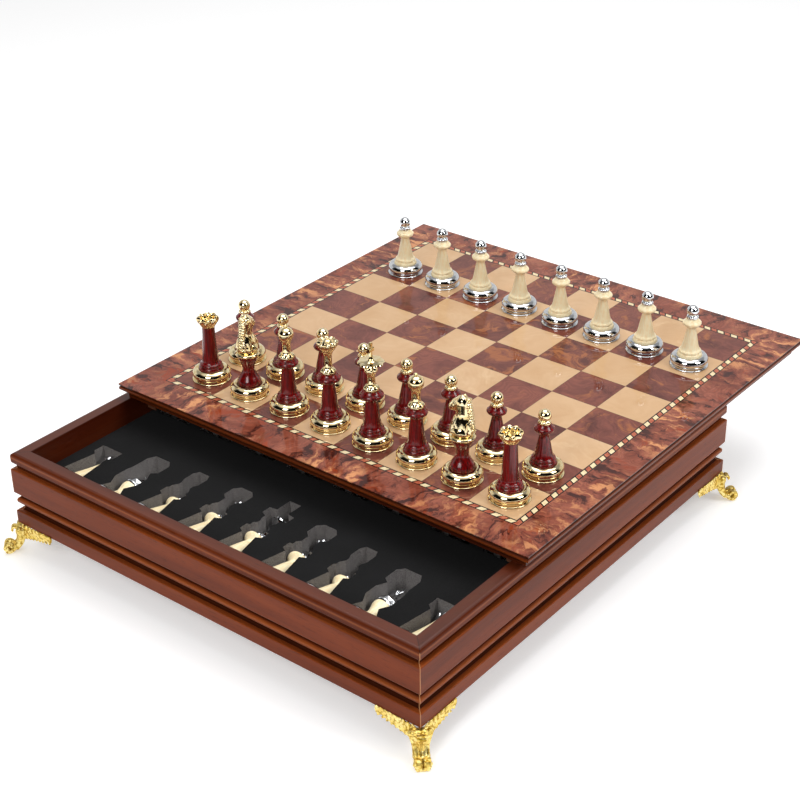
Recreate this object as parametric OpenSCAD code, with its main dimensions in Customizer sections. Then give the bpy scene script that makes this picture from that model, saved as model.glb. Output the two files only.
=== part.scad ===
// Chess box with a sliding board lid.
// A moulded case on four cast corner feet holds a foam tray with one pocket per chessman.
// The inlaid board is the lid: two battens under it run between the side rails, and the
// board is shown pushed back, so that the front row of pockets is open.
// Lengths are in millimetres. The box stands on z = 0, its front faces -Y, and the origin
// is below the middle of the whole object as it stands.

/* [Board] */
// Side of one square of the playing field
square = 38; // [37:0.5:44]
// Width of the inlaid band round the field
band_w = 5; // [3:0.5:8]
// Width of the burl border outside the band
border_w = 24; // [21:0.5:30]
// Thickness of the whole board
board_t = 11.5; // [10:0.5:16]
// Thickness of the veneer on the core
veneer_t = 0.6; // [0.4:0.1:1.2]
// Width of the solid edging round the core
edging_w = 12; // [11:0.5:20]
// Radius of the edging's rounded face
nose_r = 2.1; // [1.6:0.1:2.5]
// How far the edging's underside is cut back from its face
undercut = 4.6; // [3:0.1:5]
// How far the board is pushed back from its closed place
board_open = 102; // [60:1:110]
// How far the board lies to the right of the case's middle
board_aside = 4.2; // [0:0.1:5]

/* [Case] */
// Half of what the board is wider than the case
board_overhang = 0.5; // [0:0.1:3]
// Height of the moulded rails
rail_h = 57.2; // [56:0.2:66]
// Thickness of the rails
rail_t = 10.8; // [10:0.2:15]
// Height of the plain plinth at the foot of the rails
plinth_h = 10.6; // [9.6:0.1:12]
// Radius of the cove between plinth and bead
cove_r = 2.4; // [2:0.1:2.8]
// Radius of the bead above the cove
bead_r = 3; // [2.6:0.1:3.4]
// Height of the flat frieze
frieze_h = 20.2; // [18:0.2:21]
// Height of the rounded rim at the top of the rails
rim_h = 9; // [8:0.2:10.4]
// Depth of the grooves above and below the frieze
groove_d = 3.2; // [2.4:0.1:4]
// Height of the groove between frieze and rim
groove_w = 3.4; // [2.6:0.1:4]
// Thickness of the bottom panel
panel_t = 5; // [3:0.5:6]
// How deep the bottom panel is let into the rails
panel_let_in = 4.5; // [3:0.5:5]
// Height of the panel's groove above the rails' underside
panel_up = 3; // [2:0.5:5]

/* [Tray] */
// How far the foam's surface lies below the rim
foam_down = 19; // [17:0.5:24]
// Depth of the pockets in the foam
pocket_depth = 21; // [18:0.5:22]
// Clearance round each chessman in its pocket
pocket_clear = 1.2; // [0.8:0.1:1.6]
// Gap between the front rail and the first row of pockets
row_margin = 2; // [1:0.5:4]
// Foam left between the pawns' pockets and the tray's middle line
centre_web = 4; // [2:0.5:6]

/* [Chessmen] */
// Diameter of every base
base_d = 28.4; // [27:0.2:30]
// Height of every base
base_h = 7.8; // [6:0.2:9]
// Height of the king
king_h = 76.5; // [72:0.5:82]
// Height of the queen
queen_h = 69; // [65:0.5:74]
// Height of the bishop
bishop_h = 66; // [61:0.5:70]
// Height of the knight
knight_h = 62.5; // [59:0.5:66]
// Height of the rook
rook_h = 50; // [46:0.5:56]
// Height of the pawn
pawn_h = 48; // [44:0.5:52]
// Radius of the turned body just above the base
body_r = 8.9; // [8:0.1:9.6]
// Direction in which the left red knight looks
left_knight_turn = 96; // [0:1:360]
// Direction in which the right red knight looks
right_knight_turn = 215; // [0:1:360]

/* [Feet] */
// Height of the feet
foot_h = 24; // [22:0.5:30]
// Length of each leaf along the plinth
leaf_l = 35; // [31:0.5:42]
// Thickness of the leaves
leaf_t = 4; // [3:0.1:6]
// Radius of the scrolls at the toe
scroll_r = 3.2; // [2.8:0.1:4]
// Width of one of the two scrolls
scroll_w = 4.6; // [4:0.1:6]
// How far the scroll's middle stands out past the corner, on the diagonal
toe_out = 6; // [4:0.1:8]

/* [Guides and screws] */
// Width of the guide battens under the board
batten_w = 8; // [6:0.5:12]
// Height of the guide battens
batten_h = 8; // [6:0.5:9]
// Play between the right batten and the right rail
batten_play = 0.8; // [0.4:0.1:1.5]
// Gap left at the battens' ends when the board meets a stop
stop_gap = 0.5; // [0.3:0.1:1]
// Shank radius of the wood screws
screw_r = 1.5; // [1:0.1:2]
// Clearance round loose fits, on the radius
fit = 0.05; // [0.03:0.01:0.1]

/* [Hidden] */
FILES = ["a", "b", "c", "d", "e", "f", "g", "h"];
CASE_NODES = ["front_rail", "back_rail", "left_rail", "right_rail", "bottom_panel",
    "foam_base", "foam_tray_front", "foam_tray_back", "foot_front_left", "foot_front_right",
    "foot_back_left", "foot_back_right", "foot_screws"];
BOARD_NODES = ["board_core", "board_edging", "dark_squares", "light_squares", "inlay_band",
    "border_veneer", "guide_batten_left", "guide_batten_right", "batten_screws"];
$fn = 64;

ROOT2 = sqrt(2);
eps = 0.01;

// Colours
WALNUT = "#7a4028";
BURL = "#9c5c48";
DARK_SQUARE = "#8c5f5a";
LIGHT_SQUARE = "#deba94";
INLAY = "#e8d6ae";
FOAM = "#1c1c1c";
GOLD = "#dcbe5a";
STEEL = "#c8ccd0";
REDWOOD = "#7a1512";
IVORY = "#f5deaf";

// Board sizes
field_w = 8 * square;
band_outer = field_w + 2 * band_w;
top_w = band_outer + 2 * border_w;
core_w = top_w - 2 * edging_w;
quirk_h = 0.45;
quirk_d = 0.9;

// Case sizes and levels
case_w = top_w - 2 * board_overhang;
inner_w = case_w - 2 * rail_t;
half_w = inner_w / 2;
rim_z = foot_h + rail_h;
board_z = rim_z + board_t;
panel_z = foot_h + panel_up;
foam_z = rim_z - foam_down;
floor_z = foam_z - pocket_depth;
frieze_top = rail_h - rim_h - groove_w;
bead_z = plinth_h + 2 * cove_r + bead_r;
bead_in = 1;
cove_in = 1.9;
arris_r = 0.8;
frieze_r = 1.2;
rim_in = 0.6;
rim_r = 2.8;

// Chessmen
seat_gap = 0.3;
base_r = base_d / 2;
flange_h = 1.5;
ring_r = 3.6;
spigot_r = 4.5;
spigot_l = 3.5;
peg_r = 1.6;
peg_l = 4;
MEN = ["rook", "knight", "bishop", "queen", "king", "queen", "bishop", "knight", "rook"];
BACK_RANK = ["rook", "knight", "bishop", "queen", "king", "bishop", "knight", "rook"];

// Total height of a kind of chessman
function height(kind) =
    kind == "king" ? king_h : kind == "queen" ? queen_h : kind == "bishop" ? bishop_h :
    kind == "knight" ? knight_h : kind == "rook" ? rook_h : pawn_h;

// Length of the metal head of each kind
function head_length(kind) =
    kind == "king" ? 35.5 : kind == "queen" ? 27.5 : kind == "bishop" ? 25 :
    kind == "knight" ? 31 : kind == "rook" ? 8 : 10.2;

// Height at which the metal head sits on the turned body
function head_z(kind) = height(kind) - head_length(kind) - fit;

// Radius of the collar under the head
function collar_r(kind) =
    kind == "king" ? 8.4 : kind == "queen" ? 8.5 : kind == "bishop" ? 7.9 : 6.9;

// Radius of the collar's top, on which the head sits
function seat_r(kind) = kind == "pawn" ? 4.6 : 6.3;

// Widest radius of the head
function head_r(kind) =
    kind == "king" ? 9.2 : kind == "queen" ? 7.5 : kind == "bishop" ? 5.4 :
    kind == "knight" ? 9 : kind == "rook" ? 8.2 : 4.4;

// Points of a bowed line from p to q. A positive bow stands out to the right of the way.
function bow(p, q, sag, n = 7) =
    let (d = q - p, len = norm(d), side = [d[1], -d[0]] / len)
    [for (i = [0 : n]) let (t = i / n) p + d * t + side * (4 * sag * t * (1 - t))];

// Pockets: first and second row, measured from the inner face of the front rail.
// The leaning of a stored chessman takes up some more length round its base and head.
tilt_room = 2.8;
men_pitch = inner_w / len(MEN);
pawn_pitch = inner_w / len(FILES);
pawn_start = half_w - centre_web - pocket_length("pawn");
function pocket_length(kind) =
    height(kind) + 2 * pocket_clear + (kind == "pawn" ? 0 : tilt_room);
function men_x(i) = (i - (len(MEN) - 1) / 2) * men_pitch;
function pawn_x(i) = (i - (len(FILES) - 1) / 2) * pawn_pitch;

// A stored chessman lies on the ring of its base and on its head, so it leans forward.
// Each kind's head comes nearest to the pocket's floor at this height and radius.
ring_z = base_h - ring_r;
function rest_z(kind) = head_z(kind) + head_length(kind) * (
    kind == "king" ? 0.59 : kind == "queen" ? 0.85 : kind == "bishop" ? 0.72 :
    kind == "knight" ? 0.145 : 1);
function rest_r(kind) = head_r(kind) + (kind == "knight" ? 0.5 : 0.1);
function lean(kind) = atan((base_r - rest_r(kind)) / (rest_z(kind) - ring_z));
function axis_z(kind) =
    floor_z + seat_gap + base_r * cos(lean(kind)) + ring_z * sin(lean(kind));
function lean_back(kind) = base_r * sin(lean(kind));

// Middle of the whole object from front to back, seen from the case's middle
scroll_gap = 0.6;
toe_reach = (toe_out + scroll_r + scroll_w + scroll_gap / 2) / ROOT2;
middle_y = (board_open + top_w / 2 - case_w / 2 - toe_reach) / 2;

module in_case() {
    translate([0, -middle_y, 0]) children();
}

module on_board() {
    in_case() translate([board_aside, board_open, 0]) children();
}

// ---- Case -------------------------------------------------------------------------

// Part of the rail's section: a strip between two heights, rounded on its outer corners
module strip(z0, z1, inset, r) {
    translate([inset + r, z0]) square([rail_t - inset - r, z1 - z0]);
    translate([inset, z0 + r]) square([r + eps, z1 - z0 - 2 * r]);
    for (z = [z0 + r, z1 - r])
        translate([inset + r, z]) circle(r);
}

// Section of a rail: x runs inward from the outer face, y runs up
module rail_section() {
    difference() {
        union() {
            translate([groove_d, 0]) square([rail_t - groove_d, rail_h]);
            strip(0, plinth_h, 0, arris_r);
            translate([bead_in + bead_r, bead_z]) circle(bead_r);
            strip(frieze_top - frieze_h, frieze_top, 0, frieze_r);
            strip(rail_h - rim_h, rail_h, rim_in, rim_r);
        }
        translate([cove_in, plinth_h + cove_r]) circle(cove_r);
        translate([rail_t - panel_let_in, panel_up]) square([panel_let_in + 1, panel_t]);
    }
}

// Front rail in place, with both ends cut at 45 degrees; the others are turned copies
module rail() {
    intersection() {
        translate([-case_w / 2, -case_w / 2, foot_h])
            rotate([90, 0, 90]) linear_extrude(case_w) rail_section();
        translate([0, 0, foot_h - 1]) linear_extrude(rail_h + 2) polygon([
            [-case_w / 2, -case_w / 2], [case_w / 2, -case_w / 2],
            [case_w / 2 - rail_t, -case_w / 2 + rail_t],
            [-case_w / 2 + rail_t, -case_w / 2 + rail_t]]);
    }
}

// Rail number i, counted anticlockwise from the front, with the feet's screw holes
module drilled_rail(i) {
    color(WALNUT) in_case() difference() {
        rotate(90 * i) rail();
        foot_screw_places()
            translate([0, 0, -eps]) cylinder(r = screw_r + fit, h = screw_in + 0.4);
    }
}

module front_rail() {
    drilled_rail(0);
}

module right_rail() {
    drilled_rail(1);
}

module back_rail() {
    drilled_rail(2);
}

module left_rail() {
    drilled_rail(3);
}

module bottom_panel() {
    w = inner_w + 2 * panel_let_in - 0.6;
    color(WALNUT) in_case() translate([-w / 2, -w / 2, panel_z + 0.1]) cube([w, w, panel_t - 0.2]);
}

// ---- Foam tray --------------------------------------------------------------------

foam_play = 0.4;
foam_w = inner_w - 2 * foam_play;

module foam_base() {
    z0 = panel_z + panel_t;
    color(FOAM) in_case() translate([-foam_w / 2, -foam_w / 2, z0])
        cube([foam_w, foam_w, floor_z - z0]);
}

// Pocket outlines are lists of [distance from the base's end, half width].
// Widths for the base, the body's foot and the collar come first, then the head's.
function pocket_start(kind) =
    let (c = pocket_clear, b = base_h + 2 * c + tilt_room, f = body_r + c)
    [[0, base_r + c], [b, base_r + c], [b, f], [b + 4, f]];

function neck_y(kind) = head_z(kind) + tilt_room / 2;

function collar_part(kind) =
    let (n = neck_y(kind), w = collar_r(kind) + pocket_clear + 0.2)
    [[n - 7, 5.9], [n - 5, w], [n + 1.5, w]];

function pocket_half(kind) =
    let (c = pocket_clear, l = pocket_length(kind), n = neck_y(kind), r = head_r(kind) + c)
    concat(pocket_start(kind),
        kind == "rook" ? [[n, 6.3], [n + 3, r + 0.3], [l, r + 0.3]] :
        kind == "knight" ? [[n - 9, 6.4], [n - 1, r + 0.3], [n + 9, r + 0.3], [n + 17, 9.2],
            [l - 6, 9.2], [l, 6]] :
        concat(collar_part(kind),
            kind == "pawn" ? [[n + 2.5, r + 0.4], [l, r + 0.4]] :
            kind == "bishop" ? [[n + 2, 7.8], [n + 5.5, 7.8], [n + 9, 5.2], [n + 12, 5.2],
                [n + 15.5, r + 0.3], [l - 4.5, r + 0.3], [l, 4.6]] :
            kind == "queen" ? [[n + 2, 7.4], [n + 5, 7.4], [n + 8, 5], [n + 14.5, 5],
                [n + 18, r + 0.4], [l - 4.5, r + 0.4], [l, 5]] :
            [[n + 2, 7.4], [n + 5, 7.4], [n + 7.5, 5.2], [n + 10, 5.2], [n + 12.5, 6.4],
                [n + 16, 6.4], [n + 18, r + 0.4], [n + 25.5, r + 0.4], [n + 26.5, 5], [l, 5]]));

// Other side of a knight's pocket, which leaves room for the muzzle
function muzzle_half() =
    let (c = pocket_clear, l = pocket_length("knight"), n = neck_y("knight"),
         r = head_r("knight") + c)
    concat(pocket_start("knight"), [[n - 9, 6.4], [n - 1, r + 0.3], [n + 9, r + 0.3],
        [n + 16, 7], [n + 19, r + 0.9], [l - 4.5, r + 0.9], [l, 7]]);

// Outline of a pocket, from its base's end at y = 0 towards +Y; side is where a muzzle points
module pocket_outline(kind, side = 1) {
    plain = pocket_half(kind);
    far = kind == "knight" ? muzzle_half() : plain;
    n = len(far);
    polygon(concat([for (p = plain) [-side * p[1], p[0]]],
                   [for (i = [n - 1 : -1 : 0]) [side * far[i][1], far[i][0]]]));
}

// Front half of the tray: nine pockets behind the front rail, then eight for the pawns
module half_tray() {
    translate([0, 0, floor_z]) linear_extrude(pocket_depth) difference() {
        translate([-foam_w / 2, -foam_w / 2]) square([foam_w, foam_w / 2 - foam_play / 2]);
        for (i = [0 : len(MEN) - 1])
            translate([men_x(i), -half_w + row_margin])
                pocket_outline(MEN[i], men_x(i) < 0 ? 1 : -1);
        for (i = [0 : len(FILES) - 1])
            translate([pawn_x(i), -half_w + pawn_start]) pocket_outline("pawn");
    }
}

module foam_tray_front() {
    color(FOAM) in_case() half_tray();
}

module foam_tray_back() {
    color(FOAM) in_case() rotate(180) half_tray();
}

// ---- Feet -------------------------------------------------------------------------

plate_t = 2.4;
toe_flat = 0.3;
plate_w = leaf_l - 2;
screw_in = 9;
screw_head_r = 2.6;
screw_head_h = 1.6;
screw_x = plate_w * 0.68;
screw_inset = (rail_t - panel_let_in) * 0.68;

// Children stand at each of a corner's two screws, on the underside of the rails
module corner_screws() {
    for (p = [[screw_x, screw_inset], [screw_inset, screw_x]])
        translate([p[0], p[1], foot_h]) children();
}

// Children drawn at the front left corner are repeated at all four corners
module corners() {
    for (i = [0 : 3])
        rotate(90 * i) translate([-case_w / 2, -case_w / 2, 0]) children();
}

module foot_screw_places() {
    corners() corner_screws() children();
}

// Lower edge of a leaf, as parts of its length and of the foot's height below the rails
LEAF_EDGE = [[0, 0.54], [0.12, 0.43], [0.24, 0.33], [0.46, 0.24], [0.74, 0.2], [0.93, 0.12]];
LEAF_LOBES = [[0.2, 0.3], [0.42, 0.22], [0.63, 0.18], [0.82, 0.14]];
leaf_proud = 1.2;
lobe_r = 2;
tip_r = 2.3;
tip_up = 1.6;

// Lobed leaf outline: x runs along the plinth, y is height; its tip curls up past the edge
module leaf_outline() {
    polygon(concat([[0, foot_h]],
        [for (p = LEAF_EDGE) [leaf_l * p[0], foot_h * (1 - p[1])]], [[leaf_l - tip_r, foot_h]]));
    for (p = LEAF_LOBES)
        translate([leaf_l * p[0], foot_h * (1 - p[1])]) circle(lobe_r);
    translate([leaf_l - tip_r, foot_h + tip_up - tip_r]) circle(tip_r);
}

// One leaf along the front plinth, standing out a little past its face
module leaf() {
    intersection() {
        translate([0, leaf_t - leaf_proud, 0])
            rotate([90, 0, 0]) linear_extrude(leaf_t) leaf_outline();
        union() {
            translate([-1, -leaf_proud - 1, 0])
                cube([leaf_l + 2, leaf_t + 2, foot_h]);
            translate([-1, -leaf_proud - 1, 0])
                cube([leaf_l + 2, leaf_proud + 1, foot_h + tip_up + 1]);
        }
    }
}

// A flattened ball for the leg: place on the diagonal, height and half width
module knuckle(s, z, half, thick) {
    translate([-s / ROOT2, -s / ROOT2, z]) rotate(45)
        scale([thick, half, thick]) sphere(1, $fn = 20);
}

// A roll across the diagonal: place on the diagonal, height, radius, width, and how far aside
module roll(s, z, r, w, aside = 0) {
    translate([-s / ROOT2, -s / ROOT2, z]) rotate(45) translate([0, aside, 0])
        rotate([90, 0, 0]) cylinder(r = r, h = w, center = true);
}

// A block above or below the floor, as wide as the foot on every side
module foot_block(z) {
    translate([-leaf_l, -leaf_l, z]) cube([2 * leaf_l, 2 * leaf_l, foot_h]);
}

// Leg from the swelling under the corner, drawn in at the middle, out to the toe
module leg() {
    intersection() {
        hull() {
            knuckle(-3.2, foot_h - 4.4, 7.4, 4.4);
            knuckle(-1.6, foot_h * 0.56, 5.6, 3.2);
        }
        foot_block(0);
    }
    hull() {
        knuckle(-1.6, foot_h * 0.56, 5.6, 3.2);
        knuckle(0, foot_h * 0.34, 5, 2.7);
    }
    hull() {
        knuckle(0, foot_h * 0.34, 5, 2.7);
        knuckle(toe_out - 1.4, 2.6, scroll_w, 2.2);
    }
    roll(curl_out, foot_h - curl_r - 0.6, curl_r, 9);
}

curl_r = 2.8;
curl_out = 0.8;

// Cast foot at the front left corner, seen from the corner of the case
module foot() {
    difference() {
        union() {
            leaf();
            mirror([1, -1, 0]) leaf();
            translate([0, 0, foot_h - plate_t]) linear_extrude(plate_t)
                polygon([[0, 0], [plate_w, 0], [plate_w, rail_t + 2], [rail_t + 2, rail_t + 2],
                         [rail_t + 2, plate_w], [0, plate_w]]);
            leg();
            for (side = [-1, 1])
                roll(toe_out, scroll_r - toe_flat, scroll_r, scroll_w,
                     side * (scroll_w + scroll_gap) / 2);
        }
        foot_block(-foot_h);
        corner_screws() translate([0, 0, -plate_t - 8]) {
            cylinder(r = screw_r + fit, h = plate_t + 9);
            cylinder(r = screw_head_r + 0.5, h = 8 + eps);
        }
    }
}

module foot_at(i) {
    color(GOLD) in_case() rotate(90 * i) translate([-case_w / 2, -case_w / 2, 0]) foot();
}

module foot_front_left() {
    foot_at(0);
}

module foot_front_right() {
    foot_at(1);
}

module foot_back_right() {
    foot_at(2);
}

module foot_back_left() {
    foot_at(3);
}

// A round headed wood screw: its head hangs below z = 0 and its shank points up
module wood_screw(len) {
    translate([0, 0, -eps]) cylinder(r = screw_r, h = len + eps);
    translate([0, 0, -screw_head_h]) cylinder(r = screw_head_r, h = screw_head_h);
}

module foot_screws() {
    color(STEEL) in_case() foot_screw_places()
        translate([0, 0, -plate_t]) wood_screw(screw_in + plate_t);
}

// ---- Board ------------------------------------------------------------------------

core_top = board_z - veneer_t;

module board_core() {
    color(WALNUT) on_board() difference() {
        translate([-core_w / 2, -core_w / 2, rim_z]) cube([core_w, core_w, board_t - veneer_t]);
        batten_screw_places() cylinder(r = screw_r + fit, h = batten_screw_in + 0.4);
    }
}

// Section of the edging: x runs inward from the face, y runs up from the board's underside.
// A lip under the veneer and a fine quirk stand above the rounded face.
module edging_section() {
    h = board_t - veneer_t;
    nose_z = h - 2 * quirk_h - nose_r;
    cove_z = nose_z - nose_r - undercut;
    difference() {
        union() {
            translate([0, h - quirk_h]) square([edging_w, quirk_h]);
            translate([quirk_d, nose_z]) square([edging_w - quirk_d, h - nose_z]);
            translate([nose_r, 0]) square([edging_w - nose_r, h]);
            translate([nose_r, nose_z]) circle(nose_r);
        }
        translate([0.3, cove_z]) circle(undercut);
        translate([0, -1]) square([undercut + 0.3, 1 + max(cove_z, eps)]);
    }
}

module edging_strip() {
    intersection() {
        translate([-top_w / 2, -top_w / 2, rim_z])
            rotate([90, 0, 90]) linear_extrude(top_w) edging_section();
        translate([0, 0, rim_z - 1]) linear_extrude(board_t + 2) mitre(top_w, core_w);
    }
}

// Front quarter of a frame between two squares, cut at 45 degrees
module mitre(outer, inner) {
    polygon([[-outer / 2, -outer / 2], [outer / 2, -outer / 2],
             [inner / 2, -inner / 2], [-inner / 2, -inner / 2]]);
}

module board_edging() {
    color(WALNUT) on_board() for (i = [0 : 3]) rotate(90 * i) edging_strip();
}

// Squares of one colour; the near right corner is a light square
module squares(parity) {
    for (i = [0 : 7], j = [0 : 7])
        if ((i + j) % 2 == parity)
            translate([(i - 4) * square, (j - 4) * square, core_top])
                cube([square, square, veneer_t]);
}

module dark_squares() {
    color(DARK_SQUARE) on_board() squares(0);
}

module light_squares() {
    color(LIGHT_SQUARE) on_board() squares(1);
}

module veneer_frame(outer, inner) {
    for (i = [0 : 3])
        rotate(90 * i) translate([0, 0, core_top]) linear_extrude(veneer_t) mitre(outer, inner);
}

module inlay_band() {
    color(INLAY) on_board() veneer_frame(band_outer, field_w);
}

module border_veneer() {
    color(BURL) on_board() veneer_frame(top_w, band_outer);
}

// Guide battens: from the front stop to the length that meets the back rail when open
batten_l = inner_w - board_open - 2 * stop_gap;
batten_y = -half_w + stop_gap;
batten_x = half_w - batten_play - board_aside - batten_w / 2;
batten_screw_in = 6;

module batten_screw_places() {
    for (side = [-1, 1], i = [0 : 2])
        translate([side * batten_x, batten_y + batten_l * (0.12 + 0.38 * i), rim_z]) children();
}

module guide_batten(side) {
    color(WALNUT) on_board() difference() {
        translate([side * batten_x - batten_w / 2, batten_y, rim_z - batten_h])
            cube([batten_w, batten_l, batten_h]);
        batten_screw_places() {
            translate([0, 0, -batten_h - 1]) cylinder(r = screw_r + fit, h = batten_h + 2);
            translate([0, 0, -batten_h - 1])
                cylinder(r = screw_head_r + 0.2, h = screw_head_h + 1.4);
        }
    }
}

module guide_batten_left() {
    guide_batten(-1);
}

module guide_batten_right() {
    guide_batten(1);
}

module batten_screws() {
    seat = batten_h - screw_head_h - 0.4;
    color(STEEL) on_board() batten_screw_places()
        translate([0, 0, -seat]) wood_screw(seat + batten_screw_in);
}

// ---- Chessmen ---------------------------------------------------------------------

// Weighted metal base with a flange, a thick ring and a recess for the body's spigot
module man_base() {
    rotate_extrude() difference() {
        union() {
            square([base_r - flange_h / 2, flange_h]);
            translate([base_r - flange_h / 2, flange_h / 2]) circle(flange_h / 2);
            translate([base_r - ring_r, base_h - ring_r]) circle(ring_r);
            square([base_r - ring_r, base_h]);
        }
        translate([-1, base_h - spigot_l - 0.3]) square([1 + spigot_r + fit, spigot_l + 1]);
    }
}

// Spigot under a body, which fits the recess in the base
function spigot() =
    [[0, base_h - spigot_l], [spigot_r, base_h - spigot_l], [spigot_r, base_h + fit]];

// Turned foot shared by most bodies: a spigot, a thick ring and a small bead
function body_foot() = concat(spigot(),
    bow([body_r - 0.9, base_h + fit], [body_r - 0.6, base_h + 3.2], 0.8, 5),
    bow([body_r - 1.2, base_h + 3.4], [body_r - 1.7, base_h + 5], 0.5, 3));

// Flared collar under a head, from the neck up to the head's seat
function body_collar(neck_r, kind) =
    let (top = head_z(kind), r = collar_r(kind))
    concat(bow([neck_r, top - 7.6], [r - 0.7, top - 4.8], -0.7, 5),
           bow([r - 0.7, top - 4.6], [r - 0.8, top - 2.2], 0.7, 5),
           bow([r - 1, top - 2.1], [seat_r(kind), top], -0.2, 3));

// Outline of a turned body in its r, z plane
function body_points(kind) =
    let (top = head_z(kind), foot_z = base_h + 5.2, r0 = body_r - 2.4)
    kind == "rook" ? concat(body_foot(), bow([r0 - 0.2, foot_z + 0.4], [4.5, top - 0.8], -0.4),
        [[4.9, top]]) :
    kind == "knight" ? concat(spigot(),
        bow([body_r - 1.7, base_h + fit], [body_r - 2.2, base_h + 4.8], 1.4),
        bow([body_r - 2.6, base_h + 5], [7.7, top], -2.6, 9)) :
    kind == "pawn" ? concat(body_foot(), bow([r0, foot_z], [3.2, top - 7.6], -0.4),
        body_collar(3.2, kind)) :
    concat(body_foot(), bow([r0, foot_z], [4.2, top - 7.6], -0.4), body_collar(4.2, kind));

module man_body(kind) {
    top = head_z(kind);
    difference() {
        rotate_extrude() polygon(concat(body_points(kind), [[0, top]]));
        translate([0, 0, top - peg_l - 0.3]) cylinder(r = peg_r + fit, h = peg_l + 1);
    }
}

// Turned part of a head from an outline in its r, z plane, with the peg below it
module turned_head(points) {
    rotate_extrude() polygon(concat([[0, -peg_l], [peg_r, -peg_l], [peg_r, 0]], points));
}

module pawn_head() {
    r = head_r("pawn");
    turned_head(concat(bow([3.6, 0], [3.6, 2.6], 0.6, 4), [[2.3, 3], [2.3, 5], [0, 5]]));
    translate([0, 0, head_length("pawn") - r]) sphere(r);
}

// Cup of eight round lobes
module rook_head() {
    l = head_length("rook");
    lobe = 2.7;
    ring = head_r("rook") - lobe;
    difference() {
        union() {
            turned_head(concat(bow([4.6, 0], [ring + 0.6, l * 0.42], -0.5, 5),
                [[ring + 0.6, l - 1.4], [0, l - 1.4]]));
            for (i = [0 : 7])
                rotate(45 * i) translate([ring, 0, l - lobe]) sphere(lobe);
        }
        translate([0, 0, l * 0.55]) cylinder(r = ring - 1, h = l);
    }
}

module bishop_head() {
    l = head_length("bishop");
    r = head_r("bishop");
    difference() {
        turned_head(concat(bow([5.6, 0], [5.4, 2.6], 0.6, 4), bow([5, 2.8], [2.9, l * 0.38], -0.8),
            bow([3.1, l * 0.4], [r, l * 0.68], -0.2, 5), bow([r, l * 0.71], [1.4, l * 0.94], 1.3, 6),
            [[1, l * 0.95], [0, l * 0.95]]));
        translate([0, -r - 1, l * 0.76]) rotate([0, -32, 0]) cube([r * 2, 2 * r + 2, 1.2]);
    }
    translate([0, 0, l - 1.5]) sphere(1.5);
}

// Foot and slender stem shared by the queen's and king's heads
function stem_points(stem_z) = concat(bow([5.1, 0], [4.9, 2.8], 0.6, 4),
    bow([4.5, 3], [2.4, stem_z - 1], -0.7), [[2.3, stem_z]]);

module queen_head() {
    l = head_length("queen");
    lobe = 2;
    ring = head_r("queen") - lobe;
    rim_z = l * 0.84;
    turned_head(concat(stem_points(l * 0.3), bow([2.3, l * 0.5], [ring + 0.6, rim_z - 2], -0.7),
        [[ring + 0.6, rim_z], [4, rim_z - 1]], bow([3.7, rim_z - 1], [1, rim_z + 2], 0.8, 5),
        [[0, rim_z + 2]]));
    for (i = [0 : 7])
        rotate(45 * i + 22.5) translate([ring, 0, rim_z - 0.6]) sphere(lobe);
    translate([0, 0, l - 1.6]) sphere(1.6);
}

module king_head() {
    l = head_length("king");
    r = head_r("king");
    disc_z = l * 0.59;
    bar = 2.2;
    arm = 2.6;
    difference() {
        turned_head(concat(stem_points(l * 0.24),
            bow([2.5, l * 0.28], [4.4, l * 0.42], -0.4, 5),
            bow([4.4, l * 0.42], [3.2, l * 0.49], 0.4, 3),
            bow([3.2, l * 0.5], [r - 0.4, disc_z - 1], -0.8, 5),
            bow([r - 0.4, disc_z - 1], [r - 0.4, disc_z + 0.4], 0.4, 3),
            [[4, disc_z + 0.6], [1.8, disc_z + 2.4], [1.4, disc_z + 4], [0, disc_z + 4]]));
        for (i = [0 : 7])
            rotate(45 * i + 22.5) translate([r + 0.7, 0, disc_z - 4]) cylinder(r = 1.7, h = 7);
    }
    translate([-bar / 2, -bar / 2, disc_z + 3]) cube([bar, bar, l - disc_z - 3]);
    translate([-arm, -bar / 2, l - 2 * arm - bar / 2 + 0.6]) cube([2 * arm, bar, bar]);
}

// One ball of the knight's head and neck: x is forward, z counts from the head's seat
module lump(x, z, r, wide = 0.82) {
    translate([x, 0, z]) scale([1, wide, 1]) sphere(r, $fn = 18);
}

module knight_head() {
    l = head_length("knight");
    r = head_r("knight");
    poll_z = l - 4.9;
    turned_head(concat([[7.6, 0]], bow([7.7, 0.3], [r - 0.4, 0.9], 0.2, 3),
        bow([r - 0.4, 0.9], [r - 0.4, 2.5], 0.4, 3), [[7, 3], [6, 6], [0, 8]]));
    hull() {
        lump(0.4, 8, 7.6, 0.96);
        lump(-0.8, 17, 5.2, 0.86);
    }
    hull() {
        lump(-0.8, 17, 5.2, 0.86);
        lump(-0.6, poll_z, 4.9, 0.76);
    }
    hull() {
        lump(0.6, poll_z, 4.3, 0.76);
        lump(6, poll_z - 2.6, 3, 0.76);
    }
    for (side = [-1, 1]) hull() {
        translate([-1.4, side * 2, poll_z + 2.6]) sphere(1.5, $fn = 12);
        translate([-2, side * 2.4, l - 0.6]) sphere(0.6, $fn = 12);
    }
    hull() {
        lump(-5, poll_z + 1.2, 1.5, 0.8);
        lump(-6.3, poll_z - 9, 1.4, 0.8);
        lump(-6.6, 7, 1.4, 0.8);
    }
}

// A standing chessman with its base on z = 0, looking along +X where it has a face
module man(kind, wood, metal) {
    color(metal) man_base();
    color(wood) man_body(kind);
    color(metal) translate([0, 0, head_z(kind) + fit]) {
        if (kind == "pawn") pawn_head();
        if (kind == "rook") rook_head();
        if (kind == "bishop") bishop_head();
        if (kind == "queen") queen_head();
        if (kind == "king") king_head();
        if (kind == "knight") knight_head();
    }
}

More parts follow.
